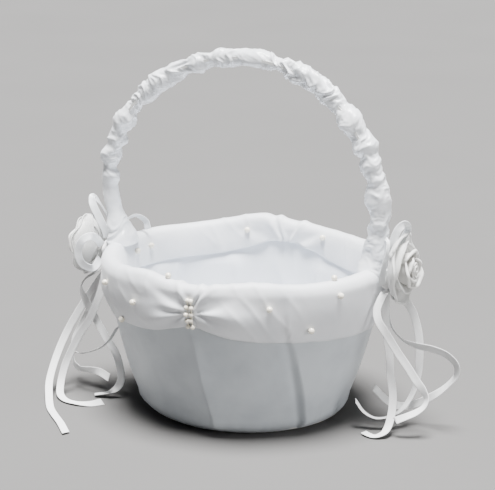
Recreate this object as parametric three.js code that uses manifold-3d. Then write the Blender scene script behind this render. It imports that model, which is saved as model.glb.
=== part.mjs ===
// Flower girl basket: a tapered oval basket of card covered and lined with satin, an organza cuff
// folded over its rim, a satin-sleeved hoop handle, a ribbon rose with loops and streamers at each
// foot of the handle, and pearls. Millimetres, +Z up. X runs from one handle foot to the other, the
// front is at -Y, and the origin is the middle of the flat underside.
import * as THREE from 'three';
import { mergeVertices } from 'three/addons/utils/BufferGeometryUtils.js';
import Module from 'manifold-3d';

// Body, measured on the outside of the satin cover. Half widths are along X.
const bodyHeight = 99;
const bodyDepthRatio = 0.91;
const footHalfWidth = 56;
const footEdgeRadius = 14;
const mouthHalfWidth = 92;
const bodyBelly = 3;
const coverThickness = 0.8;
const layerGap = 0.4;
const cardThickness = 1.8;
const liningThickness = 0.8;
const boardThickness = 2;
const paddingThickness = 4;

// Rim and cuff.
const rimWireDiameter = 2.2;
const cuffThickness = 1.8;
const cuffDrop = 35;
const cuffInnerDrop = 18;
const cuffRimHeight = 4.4;

// Hoop handle: a flat strip inside a satin sleeve. The legs run down inside the wall.
const hoopHalfWidth = 93.8;
const hoopHalfWidthAboveBody = 41;
const hoopTopAboveBody = 132;
const hoopLean = -3.3;
const hoopLegLength = 42;
const stripWidth = 9;
const stripThickness = 1.6;
const stripGap = 0.8;
const sleeveDiameter = 12.6;
const stapleWire = 0.7;
const stapleWidth = 6;
const stapleDepths = [12, 30];
const stapleClearance = 0.3;

// Roses, each on a ribbon knot at a foot of the handle.
const knotThickness = 6;
const knotHalfWidth = 11;
const knotHalfHeight = 6.5;
const knotBelowRim = 2;
const roseRadius = 21;
const roseDepth = 12;
const roseAboveKnot = { left: 3.5, right: 8.5 };
const roseForward = { left: 8, right: 4 };
const bloomRadius = 12;
const bloomDepth = 11;
const bloomBack = 6;
const organzaThickness = 1.2;
const trimGap = 0.5;

// Ribbon and pearls.
const ribbonTubeDiameter = 2.4;
const pearlDiameter = 4;
const stringPearlDiameter = 3;
const pearlStringStep = 1.2;
const pearlStringDrop = 4.4;
const pearlStringNeck = 1.2;
const pearlsPerString = 5;
const pearlStringApart = 0.4;
const pinchX = -0.8;
const pearlGap = 0.3;

const wasm = await Module();
wasm.setup();
const part = new THREE.Group();

// Finishes.
const satin = { color: 0xe9ebee, roughness: 0.42, metalness: 0 };
const organza = { color: 0xf2f3f4, roughness: 0.6, metalness: 0 };
const card = { color: 0xcdc3ae, roughness: 0.9, metalness: 0 };
const wadding = { color: 0xf4f3ef, roughness: 0.95, metalness: 0 };
const steel = { color: 0x9fa2a5, roughness: 0.35, metalness: 1 };
const strapPlastic = { color: 0xe4e4e2, roughness: 0.5, metalness: 0 };
const pearl = { color: 0xf3eee2, roughness: 0.2, metalness: 0 };

function addPart(name, geometry, finish) {
  const mesh = new THREE.Mesh(geometry, new THREE.MeshStandardMaterial(finish));
  mesh.name = name;
  part.add(mesh);
  return mesh;
}

function solidFrom(geometry) {
  const bare = geometry.index ? geometry.toNonIndexed() : geometry.clone();
  for (const name of Object.keys(bare.attributes)) {
    if (name !== 'position') {
      bare.deleteAttribute(name);
    }
  }
  const merged = mergeVertices(bare, 1e-4);
  return new wasm.Manifold(new wasm.Mesh({
    numProp: 3,
    vertProperties: new Float32Array(merged.attributes.position.array),
    triVerts: new Uint32Array(merged.index.array),
  }));
}

function geometryFrom(solid) {
  const cut = solid.getMesh();
  const geometry = new THREE.BufferGeometry();
  geometry.setAttribute('position', new THREE.BufferAttribute(new Float32Array(cut.vertProperties), 3));
  geometry.setIndex(new THREE.BufferAttribute(new Uint32Array(cut.triVerts), 1));
  geometry.computeVertexNormals();
  return geometry;
}

function cutAway(geometry, cutters) {
  let solid = solidFrom(geometry);
  for (const cutter of cutters) {
    solid = solid.subtract(solidFrom(cutter));
  }
  return geometryFrom(solid);
}

// An oval turned shape: the profile holds [half width along X, height] pairs. It runs
// anticlockwise, so that the faces point out, and the turned shape is squeezed along Y.
const ovalSegments = 36;
function ovalGeometry(profile) {
  const points = profile.map(([halfWidth, height]) => new THREE.Vector2(halfWidth, height));
  const geometry = new THREE.LatheGeometry(points, ovalSegments);
  geometry.rotateX(Math.PI / 2);
  geometry.scale(1, bodyDepthRatio, 1);
  return geometry;
}

// The closed ring between two lines, each a list of [half width, height] from low to high.
function ringProfile(outerLine, innerLine) {
  return [...outerLine, ...innerLine.slice().reverse(), outerLine[0]];
}

// Half width of the cover's outside at a height: a quarter circle at the foot, then a wall that
// leans out with a slight belly.
const wallFootHalfWidth = footHalfWidth + footEdgeRadius;
function coverHalfWidth(height) {
  if (height < footEdgeRadius) {
    const below = footEdgeRadius - height;
    return footHalfWidth + Math.sqrt(footEdgeRadius ** 2 - below ** 2);
  }
  const share = (height - footEdgeRadius) / (bodyHeight - footEdgeRadius);
  const straight = wallFootHalfWidth + (mouthHalfWidth - wallFootHalfWidth) * share;
  return straight + 4 * bodyBelly * share * (1 - share);
}

// The card and the lining keep the wall's slope down past the rounded foot edge.
function straightHalfWidth(height) {
  if (height >= footEdgeRadius) {
    return coverHalfWidth(height);
  }
  const step = 1;
  const slope = (coverHalfWidth(footEdgeRadius + step) - wallFootHalfWidth) / step;
  return wallFootHalfWidth - slope * (footEdgeRadius - height);
}

function heightsBetween(low, high, steps) {
  return Array.from({ length: steps + 1 }, (_, i) => low + (high - low) * i / steps);
}

const wallSteps = 4;
function wallLine(low, high, steps, inset) {
  return heightsBetween(low, high, steps).map((height) => [straightHalfWidth(height) - inset, height]);
}

// Insets of each layer from the outside of the cover, and heights of the stacked base layers.
const cardInset = coverThickness + layerGap;
const stripInset = cardInset + cardThickness + stripGap;
const liningInset = stripInset + stripThickness + stapleClearance + stapleWire + layerGap;
const cuffInnerInset = liningInset + liningThickness + layerGap;
const paddingBase = coverThickness + layerGap;
const paddingTop = paddingBase + paddingThickness;
const boardBase = paddingTop + layerGap;
const boardTop = boardBase + boardThickness;
const liningBase = boardTop + layerGap;
const wallBase = boardTop + layerGap;

// --- Body ---------------------------------------------------------------------------------------

// Satin cover: flat under the foot, rounded at the edge and up the outside of the wall.
const edgeSteps = 5;
function footEdge(radius) {
  return heightsBetween(0, Math.PI / 2, edgeSteps).map((turn) => (
    [footHalfWidth + radius * Math.sin(turn), footEdgeRadius - radius * Math.cos(turn)]
  ));
}
const coverEdge = footEdge(footEdgeRadius);
const coverInnerEdge = footEdge(footEdgeRadius - coverThickness);
const coverOuterWall = wallLine(footEdgeRadius, bodyHeight, wallSteps, 0).slice(1);
const coverInnerWall = wallLine(footEdgeRadius, bodyHeight, wallSteps, coverThickness).slice(1);
addPart('outer_cover', ovalGeometry([
  [0, 0],
  ...coverEdge,
  ...coverOuterWall,
  ...coverInnerWall.slice().reverse(),
  ...coverInnerEdge.slice().reverse(),
  [0, coverThickness],
]), satin);

// Wadding pad between the cover and the base board.
const paddingRadius = footEdgeRadius - paddingBase;
function paddingHalfWidth(height) {
  const below = footEdgeRadius - height;
  return footHalfWidth + Math.sqrt(Math.max(0, paddingRadius ** 2 - below ** 2));
}
addPart('base_padding', ovalGeometry([
  [0, paddingBase],
  [footHalfWidth - layerGap, paddingBase],
  [paddingHalfWidth(paddingBase + paddingThickness / 2) - layerGap, paddingBase + paddingThickness / 2],
  [paddingHalfWidth(paddingTop) - layerGap, paddingTop],
  [0, paddingTop],
]), wadding);

// Card base board, as wide as the cover leaves room for at its lower face.
const boardHalfWidth = paddingHalfWidth(boardBase) - layerGap;
addPart('base_board', ovalGeometry([
  [0, boardBase],
  [boardHalfWidth, boardBase],
  [boardHalfWidth, boardTop],
  [0, boardTop],
]), card);

// Slots for the staple legs: boxes across the wall, one for each leg.
const handleSides = [{ name: 'left', sign: -1 }, { name: 'right', sign: 1 }];
const stripCentreInset = stripInset + stripThickness / 2;
const stapleHeights = stapleDepths.map((depth) => bodyHeight - depth);
const stapleReach = stripThickness / 2 + stripGap + cardThickness / 2;

function wallLean(height) {
  const step = 0.5;
  return Math.atan2(coverHalfWidth(height + step) - coverHalfWidth(height - step), 2 * step);
}

// Places a piece made round the origin, with its outward side along +X, on the strip at a height.
function placeOnStrip(geometry, height, sign) {
  geometry.rotateY(wallLean(height));
  geometry.translate(coverHalfWidth(height) - stripCentreInset, 0, height);
  if (sign < 0) {
    geometry.rotateZ(Math.PI);
  }
  return geometry;
}

function stapleSlots() {
  const side = stapleWire + 2 * stapleClearance;
  const length = 4 * stapleReach;
  const slots = [];
  for (const { sign } of handleSides) {
    for (const height of stapleHeights) {
      for (const y of [-stapleWidth / 2, stapleWidth / 2]) {
        const slot = new THREE.BoxGeometry(length, side, side);
        slot.translate(0, y, 0);
        slots.push(placeOnStrip(slot, height, sign));
      }
    }
  }
  return slots;
}

// Card wall: a tapered oval tube that stands on the edge of the base board.
const wallTop = bodyHeight - layerGap;
addPart('side_wall', cutAway(ovalGeometry(ringProfile(
  wallLine(wallBase, wallTop, wallSteps, cardInset),
  wallLine(wallBase, wallTop, wallSteps, cardInset + cardThickness),
)), stapleSlots()), card);

// Satin lining: a cup inside the wall and over the base board.
const liningTop = bodyHeight;
const liningFootHeight = liningBase + liningThickness;
addPart('lining', ovalGeometry([
  [0, liningBase],
  ...wallLine(liningBase, liningTop, wallSteps, liningInset),
  ...wallLine(liningFootHeight, liningTop, wallSteps, liningInset + liningThickness).reverse(),
  [0, liningFootHeight],
]), satin);

// Rim wire: a ring that lies on the top edge of the card wall.
const wireRadius = rimWireDiameter / 2;
const wireHeight = bodyHeight + layerGap + wireRadius;
const wireHalfWidth = coverHalfWidth(bodyHeight) - cardInset - wireRadius + layerGap;
const wireSides = 8;
addPart('rim_wire', ovalGeometry(Array.from({ length: wireSides + 1 }, (_, i) => {
  const turn = 2 * Math.PI * (i % wireSides) / wireSides;
  return [wireHalfWidth + wireRadius * Math.cos(turn), wireHeight + wireRadius * Math.sin(turn)];
})), steel);

// Organza cuff: folded over the rim, with a longer outside than inside. A slot at each side lets
// the handle strip through.
const cuffOuterInset = -layerGap;
const rimTop = bodyHeight + cuffRimHeight;
const cuffOuterSide = wallLine(bodyHeight - cuffDrop, bodyHeight, 3, cuffOuterInset - cuffThickness);
const cuffOuterBack = wallLine(bodyHeight - cuffDrop, bodyHeight, 3, cuffOuterInset);
const cuffInnerBack = wallLine(bodyHeight - cuffInnerDrop, bodyHeight, 2, cuffInnerInset);
const cuffInnerSide = wallLine(bodyHeight - cuffInnerDrop, bodyHeight, 2, cuffInnerInset + cuffThickness);
const cuffShoulder = 3;
const rimOuter = coverHalfWidth(bodyHeight) - cuffOuterInset;
const rimInner = coverHalfWidth(bodyHeight) - cuffInnerInset;
const cuffProfile = [
  ...cuffOuterSide,
  [rimOuter + cuffThickness - cuffShoulder, rimTop],
  [rimInner - cuffThickness + cuffShoulder, rimTop],
  ...cuffInnerSide.slice().reverse(),
  ...cuffInnerBack,
  [rimInner + cuffShoulder / 2, rimTop - cuffThickness],
  [rimOuter - cuffShoulder / 2, rimTop - cuffThickness],
  ...cuffOuterBack.slice().reverse(),
  cuffOuterSide[0],
];
function stripOpenings() {
  return handleSides.map(({ sign }) => {
    const width = stripThickness + 2 * stripGap + 1;
    const opening = new THREE.BoxGeometry(width, stripWidth + 2 * stripGap, 4 * cuffRimHeight);
    opening.translate(sign * (coverHalfWidth(bodyHeight) - stripCentreInset), 0, rimTop);
    return opening;
  });
}
addPart('cuff', cutAway(ovalGeometry(cuffProfile), stripOpenings()), organza);

// --- Handle -------------------------------------------------------------------------------------

const hoopHalfWidthHeight = bodyHeight + hoopHalfWidthAboveBody;
const hoopTopHeight = bodyHeight + hoopTopAboveBody;

// The hoop's centreline: legs along the inside of the wall, then up and over in a half oval whose
// middle part leans a little towards -X.
function hoopPoint(side, height) {
  if (height <= rimTop) {
    const legHeight = Math.min(height, bodyHeight);
    return new THREE.Vector3(side * (coverHalfWidth(legHeight) - stripCentreInset), 0, height);
  }
  const rise = (height - rimTop) / (hoopTopHeight - rimTop);
  const lean = hoopLean * Math.sin(Math.PI * rise);
  const rimHalfWidth = coverHalfWidth(bodyHeight) - stripCentreInset;
  if (height < hoopHalfWidthHeight) {
    const share = (height - rimTop) / (hoopHalfWidthHeight - rimTop);
    const spread = (hoopHalfWidth - rimHalfWidth) * Math.sin(share * Math.PI / 2);
    return new THREE.Vector3(side * (rimHalfWidth + spread) + lean, 0, height);
  }
  const above = (height - hoopHalfWidthHeight) / (hoopTopHeight - hoopHalfWidthHeight);
  return new THREE.Vector3(side * hoopHalfWidth * Math.sqrt(Math.max(0, 1 - above ** 2)) + lean, 0, height);
}

// One half of the hoop above the rim, from the rim to the top.
const ovalSteps = 9;
function hoopSide(side) {
  const lower = heightsBetween(rimTop + 3, hoopHalfWidthHeight, 3).slice(0, -1);
  const upper = Array.from({ length: ovalSteps }, (_, i) => {
    const turn = i / ovalSteps * Math.PI / 2;
    return hoopHalfWidthHeight + (hoopTopHeight - hoopHalfWidthHeight) * Math.sin(turn);
  });
  return [...lower, ...upper].map((height) => hoopPoint(side, height));
}

const hoopTop = hoopPoint(1, hoopTopHeight);
const sleeveCurve = new THREE.CatmullRomCurve3([...hoopSide(-1), hoopTop, ...hoopSide(1).reverse()]);
const legHeights = heightsBetween(bodyHeight - hoopLegLength, bodyHeight, 4);
const stripCurve = new THREE.CatmullRomCurve3([
  ...legHeights.map((height) => hoopPoint(-1, height)),
  ...hoopSide(-1),
  hoopTop,
  ...hoopSide(1).reverse(),
  ...legHeights.slice().reverse().map((height) => hoopPoint(1, height)),
]);

// The strip's section: its width is along Y and its thickness is in the plane of the hoop.
function stripOutline(width, thickness) {
  const outline = new THREE.Shape();
  outline.moveTo(-width / 2, -thickness / 2);
  outline.lineTo(width / 2, -thickness / 2);
  outline.lineTo(width / 2, thickness / 2);
  outline.lineTo(-width / 2, thickness / 2);
  outline.closePath();
  return outline;
}
addPart('handle_strip', cutAway(new THREE.ExtrudeGeometry(
  stripOutline(stripWidth, stripThickness),
  { steps: 64, extrudePath: stripCurve, bevelEnabled: false },
), stapleSlots()), strapPlastic);

const sleeveSides = 10;
const sleeveSection = new THREE.Shape(Array.from({ length: sleeveSides }, (_, i) => {
  const turn = 2 * Math.PI * (i + 0.5) / sleeveSides;
  const radius = sleeveDiameter / 2;
  return new THREE.Vector2(radius * Math.cos(turn), radius * Math.sin(turn));
}));
sleeveSection.holes.push(stripOutline(stripWidth + 2 * layerGap, stripThickness + 2 * layerGap));
addPart('handle_sleeve', new THREE.ExtrudeGeometry(
  sleeveSection,
  { steps: 44, extrudePath: sleeveCurve, bevelEnabled: false },
), satin);

// Staples: a crown on the inside of the strip and two legs out through the strip and the card.
function stapleGeometry() {
  const crownHalf = stapleWidth / 2 + stapleWire / 2;
  const legInner = crownHalf - stapleWire;
  const crownBack = -(stripThickness / 2 + stapleClearance);
  const legEnd = stapleReach;
  const outline = new THREE.Shape();
  outline.moveTo(crownBack - stapleWire, -crownHalf);
  outline.lineTo(legEnd, -crownHalf);
  outline.lineTo(legEnd, -legInner);
  outline.lineTo(crownBack, -legInner);
  outline.lineTo(crownBack, legInner);
  outline.lineTo(legEnd, legInner);
  outline.lineTo(legEnd, crownHalf);
  outline.lineTo(crownBack - stapleWire, crownHalf);
  outline.closePath();
  const geometry = new THREE.ExtrudeGeometry(outline, { depth: stapleWire, bevelEnabled: false });
  geometry.translate(0, 0, -stapleWire / 2);
  return geometry;
}
for (const { name, sign } of handleSides) {
  stapleHeights.forEach((height, i) => {
    addPart(`staple_${name}_${i + 1}`, placeOnStrip(stapleGeometry(), height, sign), steel);
  });
}

// --- Roses --------------------------------------------------------------------------------------

const knotX = coverHalfWidth(bodyHeight) + layerGap + cuffThickness + trimGap;
const knotHeight = bodyHeight - knotBelowRim;
const roseBack = knotX + knotThickness + trimGap;

// Turns a shape made round +Z so that it points out sideways from a foot of the handle.
function placeSideways(geometry, offset, forward, height, sign) {
  geometry.rotateY(sign * Math.PI / 2);
  geometry.translate(sign * offset, -forward, height);
  return geometry;
}

// A round turned shape about its own Z axis.
function turned(profile, segments) {
  const geometry = new THREE.LatheGeometry(profile.map(([r, z]) => new THREE.Vector2(r, z)), segments);
  geometry.rotateX(Math.PI / 2);
  return geometry;
}

const cupOutside = [[0.26, 0], [0.5, 0.2], [0.8, 0.55], [1, 1]]
  .map(([r, z]) => [r * roseRadius, z * roseDepth]);
const cupInside = cupOutside.slice(1).map(([r, z]) => [r - organzaThickness, z + organzaThickness / 2]);
for (const { name, sign } of handleSides) {
  const knot = turned([[0, 0], [knotHalfWidth, 0], [knotHalfWidth, knotThickness], [0, knotThickness]], 16);
  knot.scale(knotHalfHeight / knotHalfWidth, 1, 1);
  addPart(`bow_knot_${name}`, placeSideways(knot, knotX, 0, knotHeight, sign), satin);

  const forward = roseForward[name];
  const height = knotHeight + roseAboveKnot[name];
  addPart(`rose_petals_${name}`, placeSideways(turned([
    [0, 0],
    ...cupOutside,
    ...cupInside.slice().reverse(),
    [0, bloomBack - trimGap],
  ], 20), roseBack, forward, height, sign), organza);

  const bloomCorner = bloomRadius * 0.62;
  addPart(`rose_bloom_${name}`, placeSideways(turned([
    [0, 0],
    [bloomCorner, 0.5],
    [bloomRadius * 0.8, bloomDepth * 0.35],
    [bloomRadius, bloomDepth * 0.65],
    [bloomCorner, bloomDepth],
    [0, bloomDepth],
  ], 16), roseBack + bloomBack, forward, height, sign), satin);
}

// --- Ribbons ------------------------------------------------------------------------------------

const tubeSides = 8;
function ribbonTube(route, stepLength) {
  const curve = new THREE.CatmullRomCurve3(route.map(([x, y, z]) => new THREE.Vector3(x, y, z)));
  const section = new THREE.Shape(Array.from({ length: tubeSides }, (_, i) => {
    const turn = 2 * Math.PI * i / tubeSides;
    return new THREE.Vector2(Math.cos(turn), Math.sin(turn)).multiplyScalar(ribbonTubeDiameter / 2);
  }));
  const steps = Math.ceil(curve.getLength() / stepLength);
  return new THREE.ExtrudeGeometry(section, { steps, extrudePath: curve, bevelEnabled: false });
}

// Loops of the bows, each from its knot. Points are measured from the knot's middle: outward, along
// Y and up.
const bowLoops = {
  bow_loop_left_top: [
    [0, 4, 7.6], [2, 5, 15], [6, 4, 24], [10, 1, 32], [11, -3, 34], [9, -6, 30], [4, -6, 20], [1, -5, 13],
    [0, -4, 7.6],
  ],
  bow_loop_left_front: [
    [0, -12, 4], [-1, -20, 10], [0, -27, 14], [4, -31, 12], [7, -32, 4], [5, -31, -4], [0, -26, -8],
    [-1, -16, -4],
  ],
  bow_loop_left_back: [[0, 12, 0], [3, 17, 6], [-1, 21, 13], [-9, 22, 17], [-16, 22, 14], [-18, 21, 9]],
  bow_loop_right_top: [
    [0, -4, 7.6], [2, -6, 17], [5, -7, 27], [8, -6, 36], [11, -3, 39], [12, 1, 36], [8, 4, 27], [3, 5, 16],
    [0, 4, 7.6],
  ],
  bow_loop_right_small: [
    [0, -12, -1], [1, -14, 7], [3, -13, 18], [3, -10.5, 26], [1.5, -9, 27], [1, -8.5, 19], [0.5, -8, 9],
  ],
};
const loopStep = 6;
for (const [name, route] of Object.entries(bowLoops)) {
  const side = name.startsWith('bow_loop_left') ? -1 : 1;
  const fromKnot = route.map(([outward, y, up]) => [
    side * (knotX + knotThickness / 2 + outward), y, knotHeight + up,
  ]);
  addPart(name, ribbonTube(fromKnot, loopStep), satin);
}

// Streamers: each hangs from the underside of a knot to its cut end.
const streamers = {
  streamer_left_1: [
    [-98, -8, 90], [-101, -8, 85], [-107, -7, 79.5], [-113, -7, 75], [-116, -8, 69], [-112, -10, 62],
    [-106, -12, 54], [-100, -14, 46.5], [-93, -16, 38], [-86, -18, 30], [-82, -20, 22], [-80, -22, 14],
    [-82, -23, 8], [-88, -24.5, 4], [-98, -26, 1.4],
  ],
  streamer_left_2: [
    [-98, -4, 90], [-98, -6, 83], [-99, -8.5, 75], [-100, -11, 68], [-102, -14.5, 60], [-105, -17.5, 51],
    [-111, -20, 41], [-116, -22.5, 30], [-120, -25.5, 19], [-121, -30, 9], [-118, -37, 3], [-111, -43, 1.4],
    [-102, -45.5, 1.4], [-93, -44, 1.4], [-86, -38, 1.4],
  ],
  streamer_left_3: [
    [-98, 0, 90], [-99, -2, 82], [-102, -4, 73], [-105, -5.5, 64], [-109, -7, 54], [-113, -9, 44],
    [-117, -11, 34], [-120, -13, 25], [-119.5, -14.5, 18], [-114, -17, 15], [-105, -20, 16],
    [-95, -24, 17], [-86, -28, 15.5],
  ],
  streamer_left_4: [
    [-98, 4, 90], [-101, 2, 80], [-105.5, 1, 70], [-110, 0.5, 61], [-116, 1, 49], [-123, 2, 37],
    [-127.5, 1, 28], [-127, -1, 22], [-121, -4, 21], [-112, -9, 24], [-102, -15, 29], [-93, -21, 35],
    [-86, -24, 42], [-81, -24, 50],
  ],
  streamer_left_5: [
    [-98, 8, 90], [-103, 7, 80], [-110, 5, 70], [-117, 3, 59], [-123, -3, 47], [-128, -10, 34],
    [-130, -20, 21], [-128, -33, 10], [-121, -47, 4], [-113, -60, 1.4], [-104, -71, 1.4], [-94, -82, 1.4],
    [-82, -97, 1.4],
  ],
  streamer_right_1: [
    [98, -4, 90], [98.5, -6, 84], [99, -8, 76], [99.5, -8.5, 68], [101, -9, 59], [103, -10, 49],
    [104, -11, 38], [106, -12, 28], [107, -14, 19], [107, -17, 12], [106.5, -21, 6.5], [105, -25, 3.5],
    [100, -27.5, 1.4], [95, -26, 1.4], [91, -23, 1.4],
  ],
  streamer_right_2: [
    [98, -8, 90], [97, -12.5, 86], [96, -16, 80], [98, -18, 74], [102, -18, 68], [106, -17, 61.5],
    [111, -16, 53.5], [117, -15, 45], [122, -14, 37], [126.5, -13, 30.5], [129, -13.5, 25.5],
    [128, -15.5, 21], [124, -17.5, 17.5], [118, -20, 14.5], [111, -21, 11],
  ],
  streamer_right_3: [
    [98, 4, 90], [101, 7, 85.5], [106, 9.5, 81], [111, 9, 75], [115, 8, 65], [117, 7, 55], [117.5, 6, 44],
    [117, 5, 34], [115.5, 3, 25], [113, 0, 18], [109, -5, 12], [102, -10, 8.5], [95, -13, 8],
    [88, -15, 12], [83, -16, 19],
  ],
  streamer_right_4: [
    [98, 0, 90], [98, 0, 80], [99.5, 0, 68], [104, 0, 61], [110, 0, 57], [118, 0, 55], [128, 0, 54],
    [137, 1, 51], [143, 2, 45], [143, 3, 38], [138, 4, 31], [132, 4.5, 25], [124, 5, 19], [115, 5, 14],
    [106, 5, 11.5], [98, 5, 13.5], [88, 5, 21.5],
  ],
};
const streamerStep = 6.5;
for (const [name, route] of Object.entries(streamers)) {
  addPart(name, ribbonTube(route, streamerStep), satin);
}

// --- Pearls -------------------------------------------------------------------------------------

// A point on an oval at an angle: 0 degrees is the front, 90 is the right foot of the handle.
function ovalPoint(halfWidth, degrees, height) {
  const turn = degrees * Math.PI / 180;
  return new THREE.Vector3(halfWidth * Math.sin(turn), -bodyDepthRatio * halfWidth * Math.cos(turn), height);
}

const pearlStandOff = pearlDiameter / 2 + pearlGap;
const places = {
  outside: (degrees, height) => {
    const halfWidth = coverHalfWidth(height) - cuffOuterInset + cuffThickness;
    return ovalPoint(halfWidth + pearlStandOff * 1.12, degrees, height);
  },
  inside: (degrees, height) => {
    const halfWidth = coverHalfWidth(height) - cuffInnerInset - cuffThickness;
    return ovalPoint(halfWidth - pearlStandOff * 1.12, degrees, height);
  },
  top: (degrees) => ovalPoint((rimOuter + rimInner) / 2, degrees, rimTop + pearlStandOff),
};

// Single pearls on the cuff: where each is, its angle and, off the top, its drop below the rim edge.
const singlePearls = [
  ['outside', -26, 12], ['outside', -48, 8], ['outside', -39, 29], ['outside', 30, 7],
  ['outside', 47, 23], ['outside', 59, 3], ['top', -12, 0], ['top', 60, 0],
  ['inside', -106, 4], ['inside', -93, 4], ['inside', -160, 0], ['inside', 160, 0],
  ['outside', 100, 22], ['outside', 130, 12], ['outside', 158, 26], ['outside', -155, 14],
  ['outside', -120, 24],
];
singlePearls.forEach(([place, degrees, drop], i) => {
  const mesh = addPart(`pearl_${i + 1}`, new THREE.SphereGeometry(pearlDiameter / 2, 8, 6), pearl);
  mesh.position.copy(places[place](degrees, bodyHeight - drop));
});

// Pearl strings over the pinches at the front and back of the cuff: pearls joined by short necks.
const pearlStringPitch = stringPearlDiameter + pearlStringStep;
function pearlStringProfile() {
  const radius = stringPearlDiameter / 2;
  const neck = pearlStringNeck / 2;
  const profile = [[0, -radius]];
  for (let i = 0; i < pearlsPerString; i += 1) {
    const centre = i * pearlStringPitch;
    if (i > 0) {
      profile.push([neck, centre - Math.sqrt(radius ** 2 - neck ** 2)]);
    }
    for (const degrees of [-42, 0, 42]) {
      const turn = degrees * Math.PI / 180;
      profile.push([radius * Math.cos(turn), centre + radius * Math.sin(turn)]);
    }
    if (i < pearlsPerString - 1) {
      profile.push([neck, centre + Math.sqrt(radius ** 2 - neck ** 2)]);
    }
  }
  profile.push([0, (pearlsPerString - 1) * pearlStringPitch + radius]);
  return profile;
}
const stringHeight = (pearlsPerString - 1) * pearlStringPitch;
const stringTop = bodyHeight - pearlStringDrop;
const stringBase = stringTop - stringHeight;
for (const [name, facing] of [['front', -1], ['back', 1]]) {
  for (const [column, shift] of [['a', -1], ['b', 1]]) {
    const mesh = addPart(`pearl_string_${name}_${column}`, turned(pearlStringProfile(), 8), pearl);
    const surface = (height) => bodyDepthRatio * (coverHalfWidth(height) - cuffOuterInset + cuffThickness);
    const lean = Math.atan2(surface(stringTop) - surface(stringBase), stringHeight);
    const outward = surface(stringBase) + stringPearlDiameter / 2 + pearlGap + trimGap;
    mesh.rotation.x = -facing * lean;
    const spread = (stringPearlDiameter + pearlStringApart) / 2;
    mesh.position.set(pinchX + shift * spread, facing * outward, stringBase);
  }
}

export default part;
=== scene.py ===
"""Looks of a flower girl basket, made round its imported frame: satin body and lining, organza cuff,
ruched handle sleeve, ribbon roses, bow loops, streamers and pearls. Metres, +Z up, front at -Y."""
import math

import bpy
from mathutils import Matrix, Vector, noise
from mathutils.bvhtree import BVHTree


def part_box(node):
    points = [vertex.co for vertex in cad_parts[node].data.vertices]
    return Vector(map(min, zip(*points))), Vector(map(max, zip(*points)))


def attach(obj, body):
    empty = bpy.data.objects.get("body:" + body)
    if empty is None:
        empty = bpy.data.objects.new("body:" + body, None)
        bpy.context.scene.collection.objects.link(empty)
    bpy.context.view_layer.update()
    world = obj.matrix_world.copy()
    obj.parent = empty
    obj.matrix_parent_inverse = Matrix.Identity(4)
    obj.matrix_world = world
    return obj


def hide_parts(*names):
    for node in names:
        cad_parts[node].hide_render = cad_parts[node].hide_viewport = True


bl_info = {
    "name": "Flower Girl Basket",
    "version": (1, 0, 0),
    "blender": (4, 5, 0),
    "location": "View3D > Sidebar > Basket",
    "description": "Satin, organza, ribbon and pearls round the frame of a flower girl basket",
    "category": "Add Mesh",
}

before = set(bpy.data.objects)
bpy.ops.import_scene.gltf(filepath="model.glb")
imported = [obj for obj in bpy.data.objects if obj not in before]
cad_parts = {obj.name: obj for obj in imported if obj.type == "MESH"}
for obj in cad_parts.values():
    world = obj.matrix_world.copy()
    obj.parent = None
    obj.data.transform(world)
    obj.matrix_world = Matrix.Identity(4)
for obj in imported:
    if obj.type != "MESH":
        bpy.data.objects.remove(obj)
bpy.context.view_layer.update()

MM = 0.001
COVER_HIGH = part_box("outer_cover")[1]
STRIP_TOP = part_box("handle_strip")[1].z
KNOT_LOW, KNOT_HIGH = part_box("bow_knot_right")
PEARL_LOW, PEARL_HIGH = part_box("pearl_1")

BODY_HEIGHT = COVER_HIGH.z
MOUTH_HALF_WIDTH = COVER_HIGH.x
DEPTH_RATIO = COVER_HIGH.y / COVER_HIGH.x
RIM_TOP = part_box("cuff")[1].z


# --- Settings -------------------------------------------------------------------------------------

def length_setting(name, description, default):
    """A length that the panel shows in the scene's unit."""
    return bpy.props.FloatProperty(
        name=name, description=description, default=default, unit="LENGTH", precision=5)


def colour_setting(name, description, default):
    """A colour kept as sRGB hex text."""
    return bpy.props.StringProperty(name=name, description=description, default=default)


class BasketBody(bpy.types.PropertyGroup):
    foot_half_width: length_setting(
        "Foot half width", "Half width of the flat underside along X", 56 * MM)
    foot_edge_radius: length_setting(
        "Foot edge radius", "Radius of the padded lower edge", 14 * MM)
    belly: length_setting(
        "Belly", "How far the wall swells between foot and rim", 3 * MM)
    satin_thickness: length_setting(
        "Satin thickness", "Thickness of the body's satin", 0.5 * MM)
    lining_inset: length_setting(
        "Lining inset", "Distance from the outside of the body to the lining", 7.3 * MM)
    foot_gather: length_setting(
        "Foot gather", "Depth of the small gathers under the lower edge", 0.35 * MM)
    # The body satin's colour is greyed far below the white of the real satin: painted shade for the
    # overhanging wall, which the light above hardly reaches.
    satin_colour_painted_shade: colour_setting("Satin colour", "sRGB hex of the body satin", "C3C9CE")
    lining_colour: colour_setting("Lining colour", "sRGB hex of the lining satin", "E1E5EB")


class BasketCuff(bpy.types.PropertyGroup):
    thickness: length_setting(
        "Organza thickness", "Thickness of the doubled organza", 0.5 * MM)
    side_hem: length_setting(
        "Side hem height", "Height of the outer hem at the handle", 64 * MM)
    front_hem: length_setting(
        "Front hem height", "Height of the outer hem at the front and back", 70.5 * MM)
    pinch_hem: length_setting(
        "Pinch hem height", "Height of the outer hem where it is drawn together", 77 * MM)
    rim_dip: length_setting(
        "Rim dip", "How far the rim is pulled down at the pinches", 0.8 * MM)
    colour: colour_setting("Organza colour", "sRGB hex of the cuff", "F5F7FB")


class BasketHandle(bpy.types.PropertyGroup):
    gather_pitch: length_setting(
        "Gather pitch", "Distance between the gathers of the sleeve", 4.2 * MM)
    satin_thickness: length_setting(
        "Satin thickness", "Thickness of the sleeve's satin", 0.35 * MM)
    colour: colour_setting("Sleeve colour", "sRGB hex of the sleeve satin", "F0F2F5")


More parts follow.
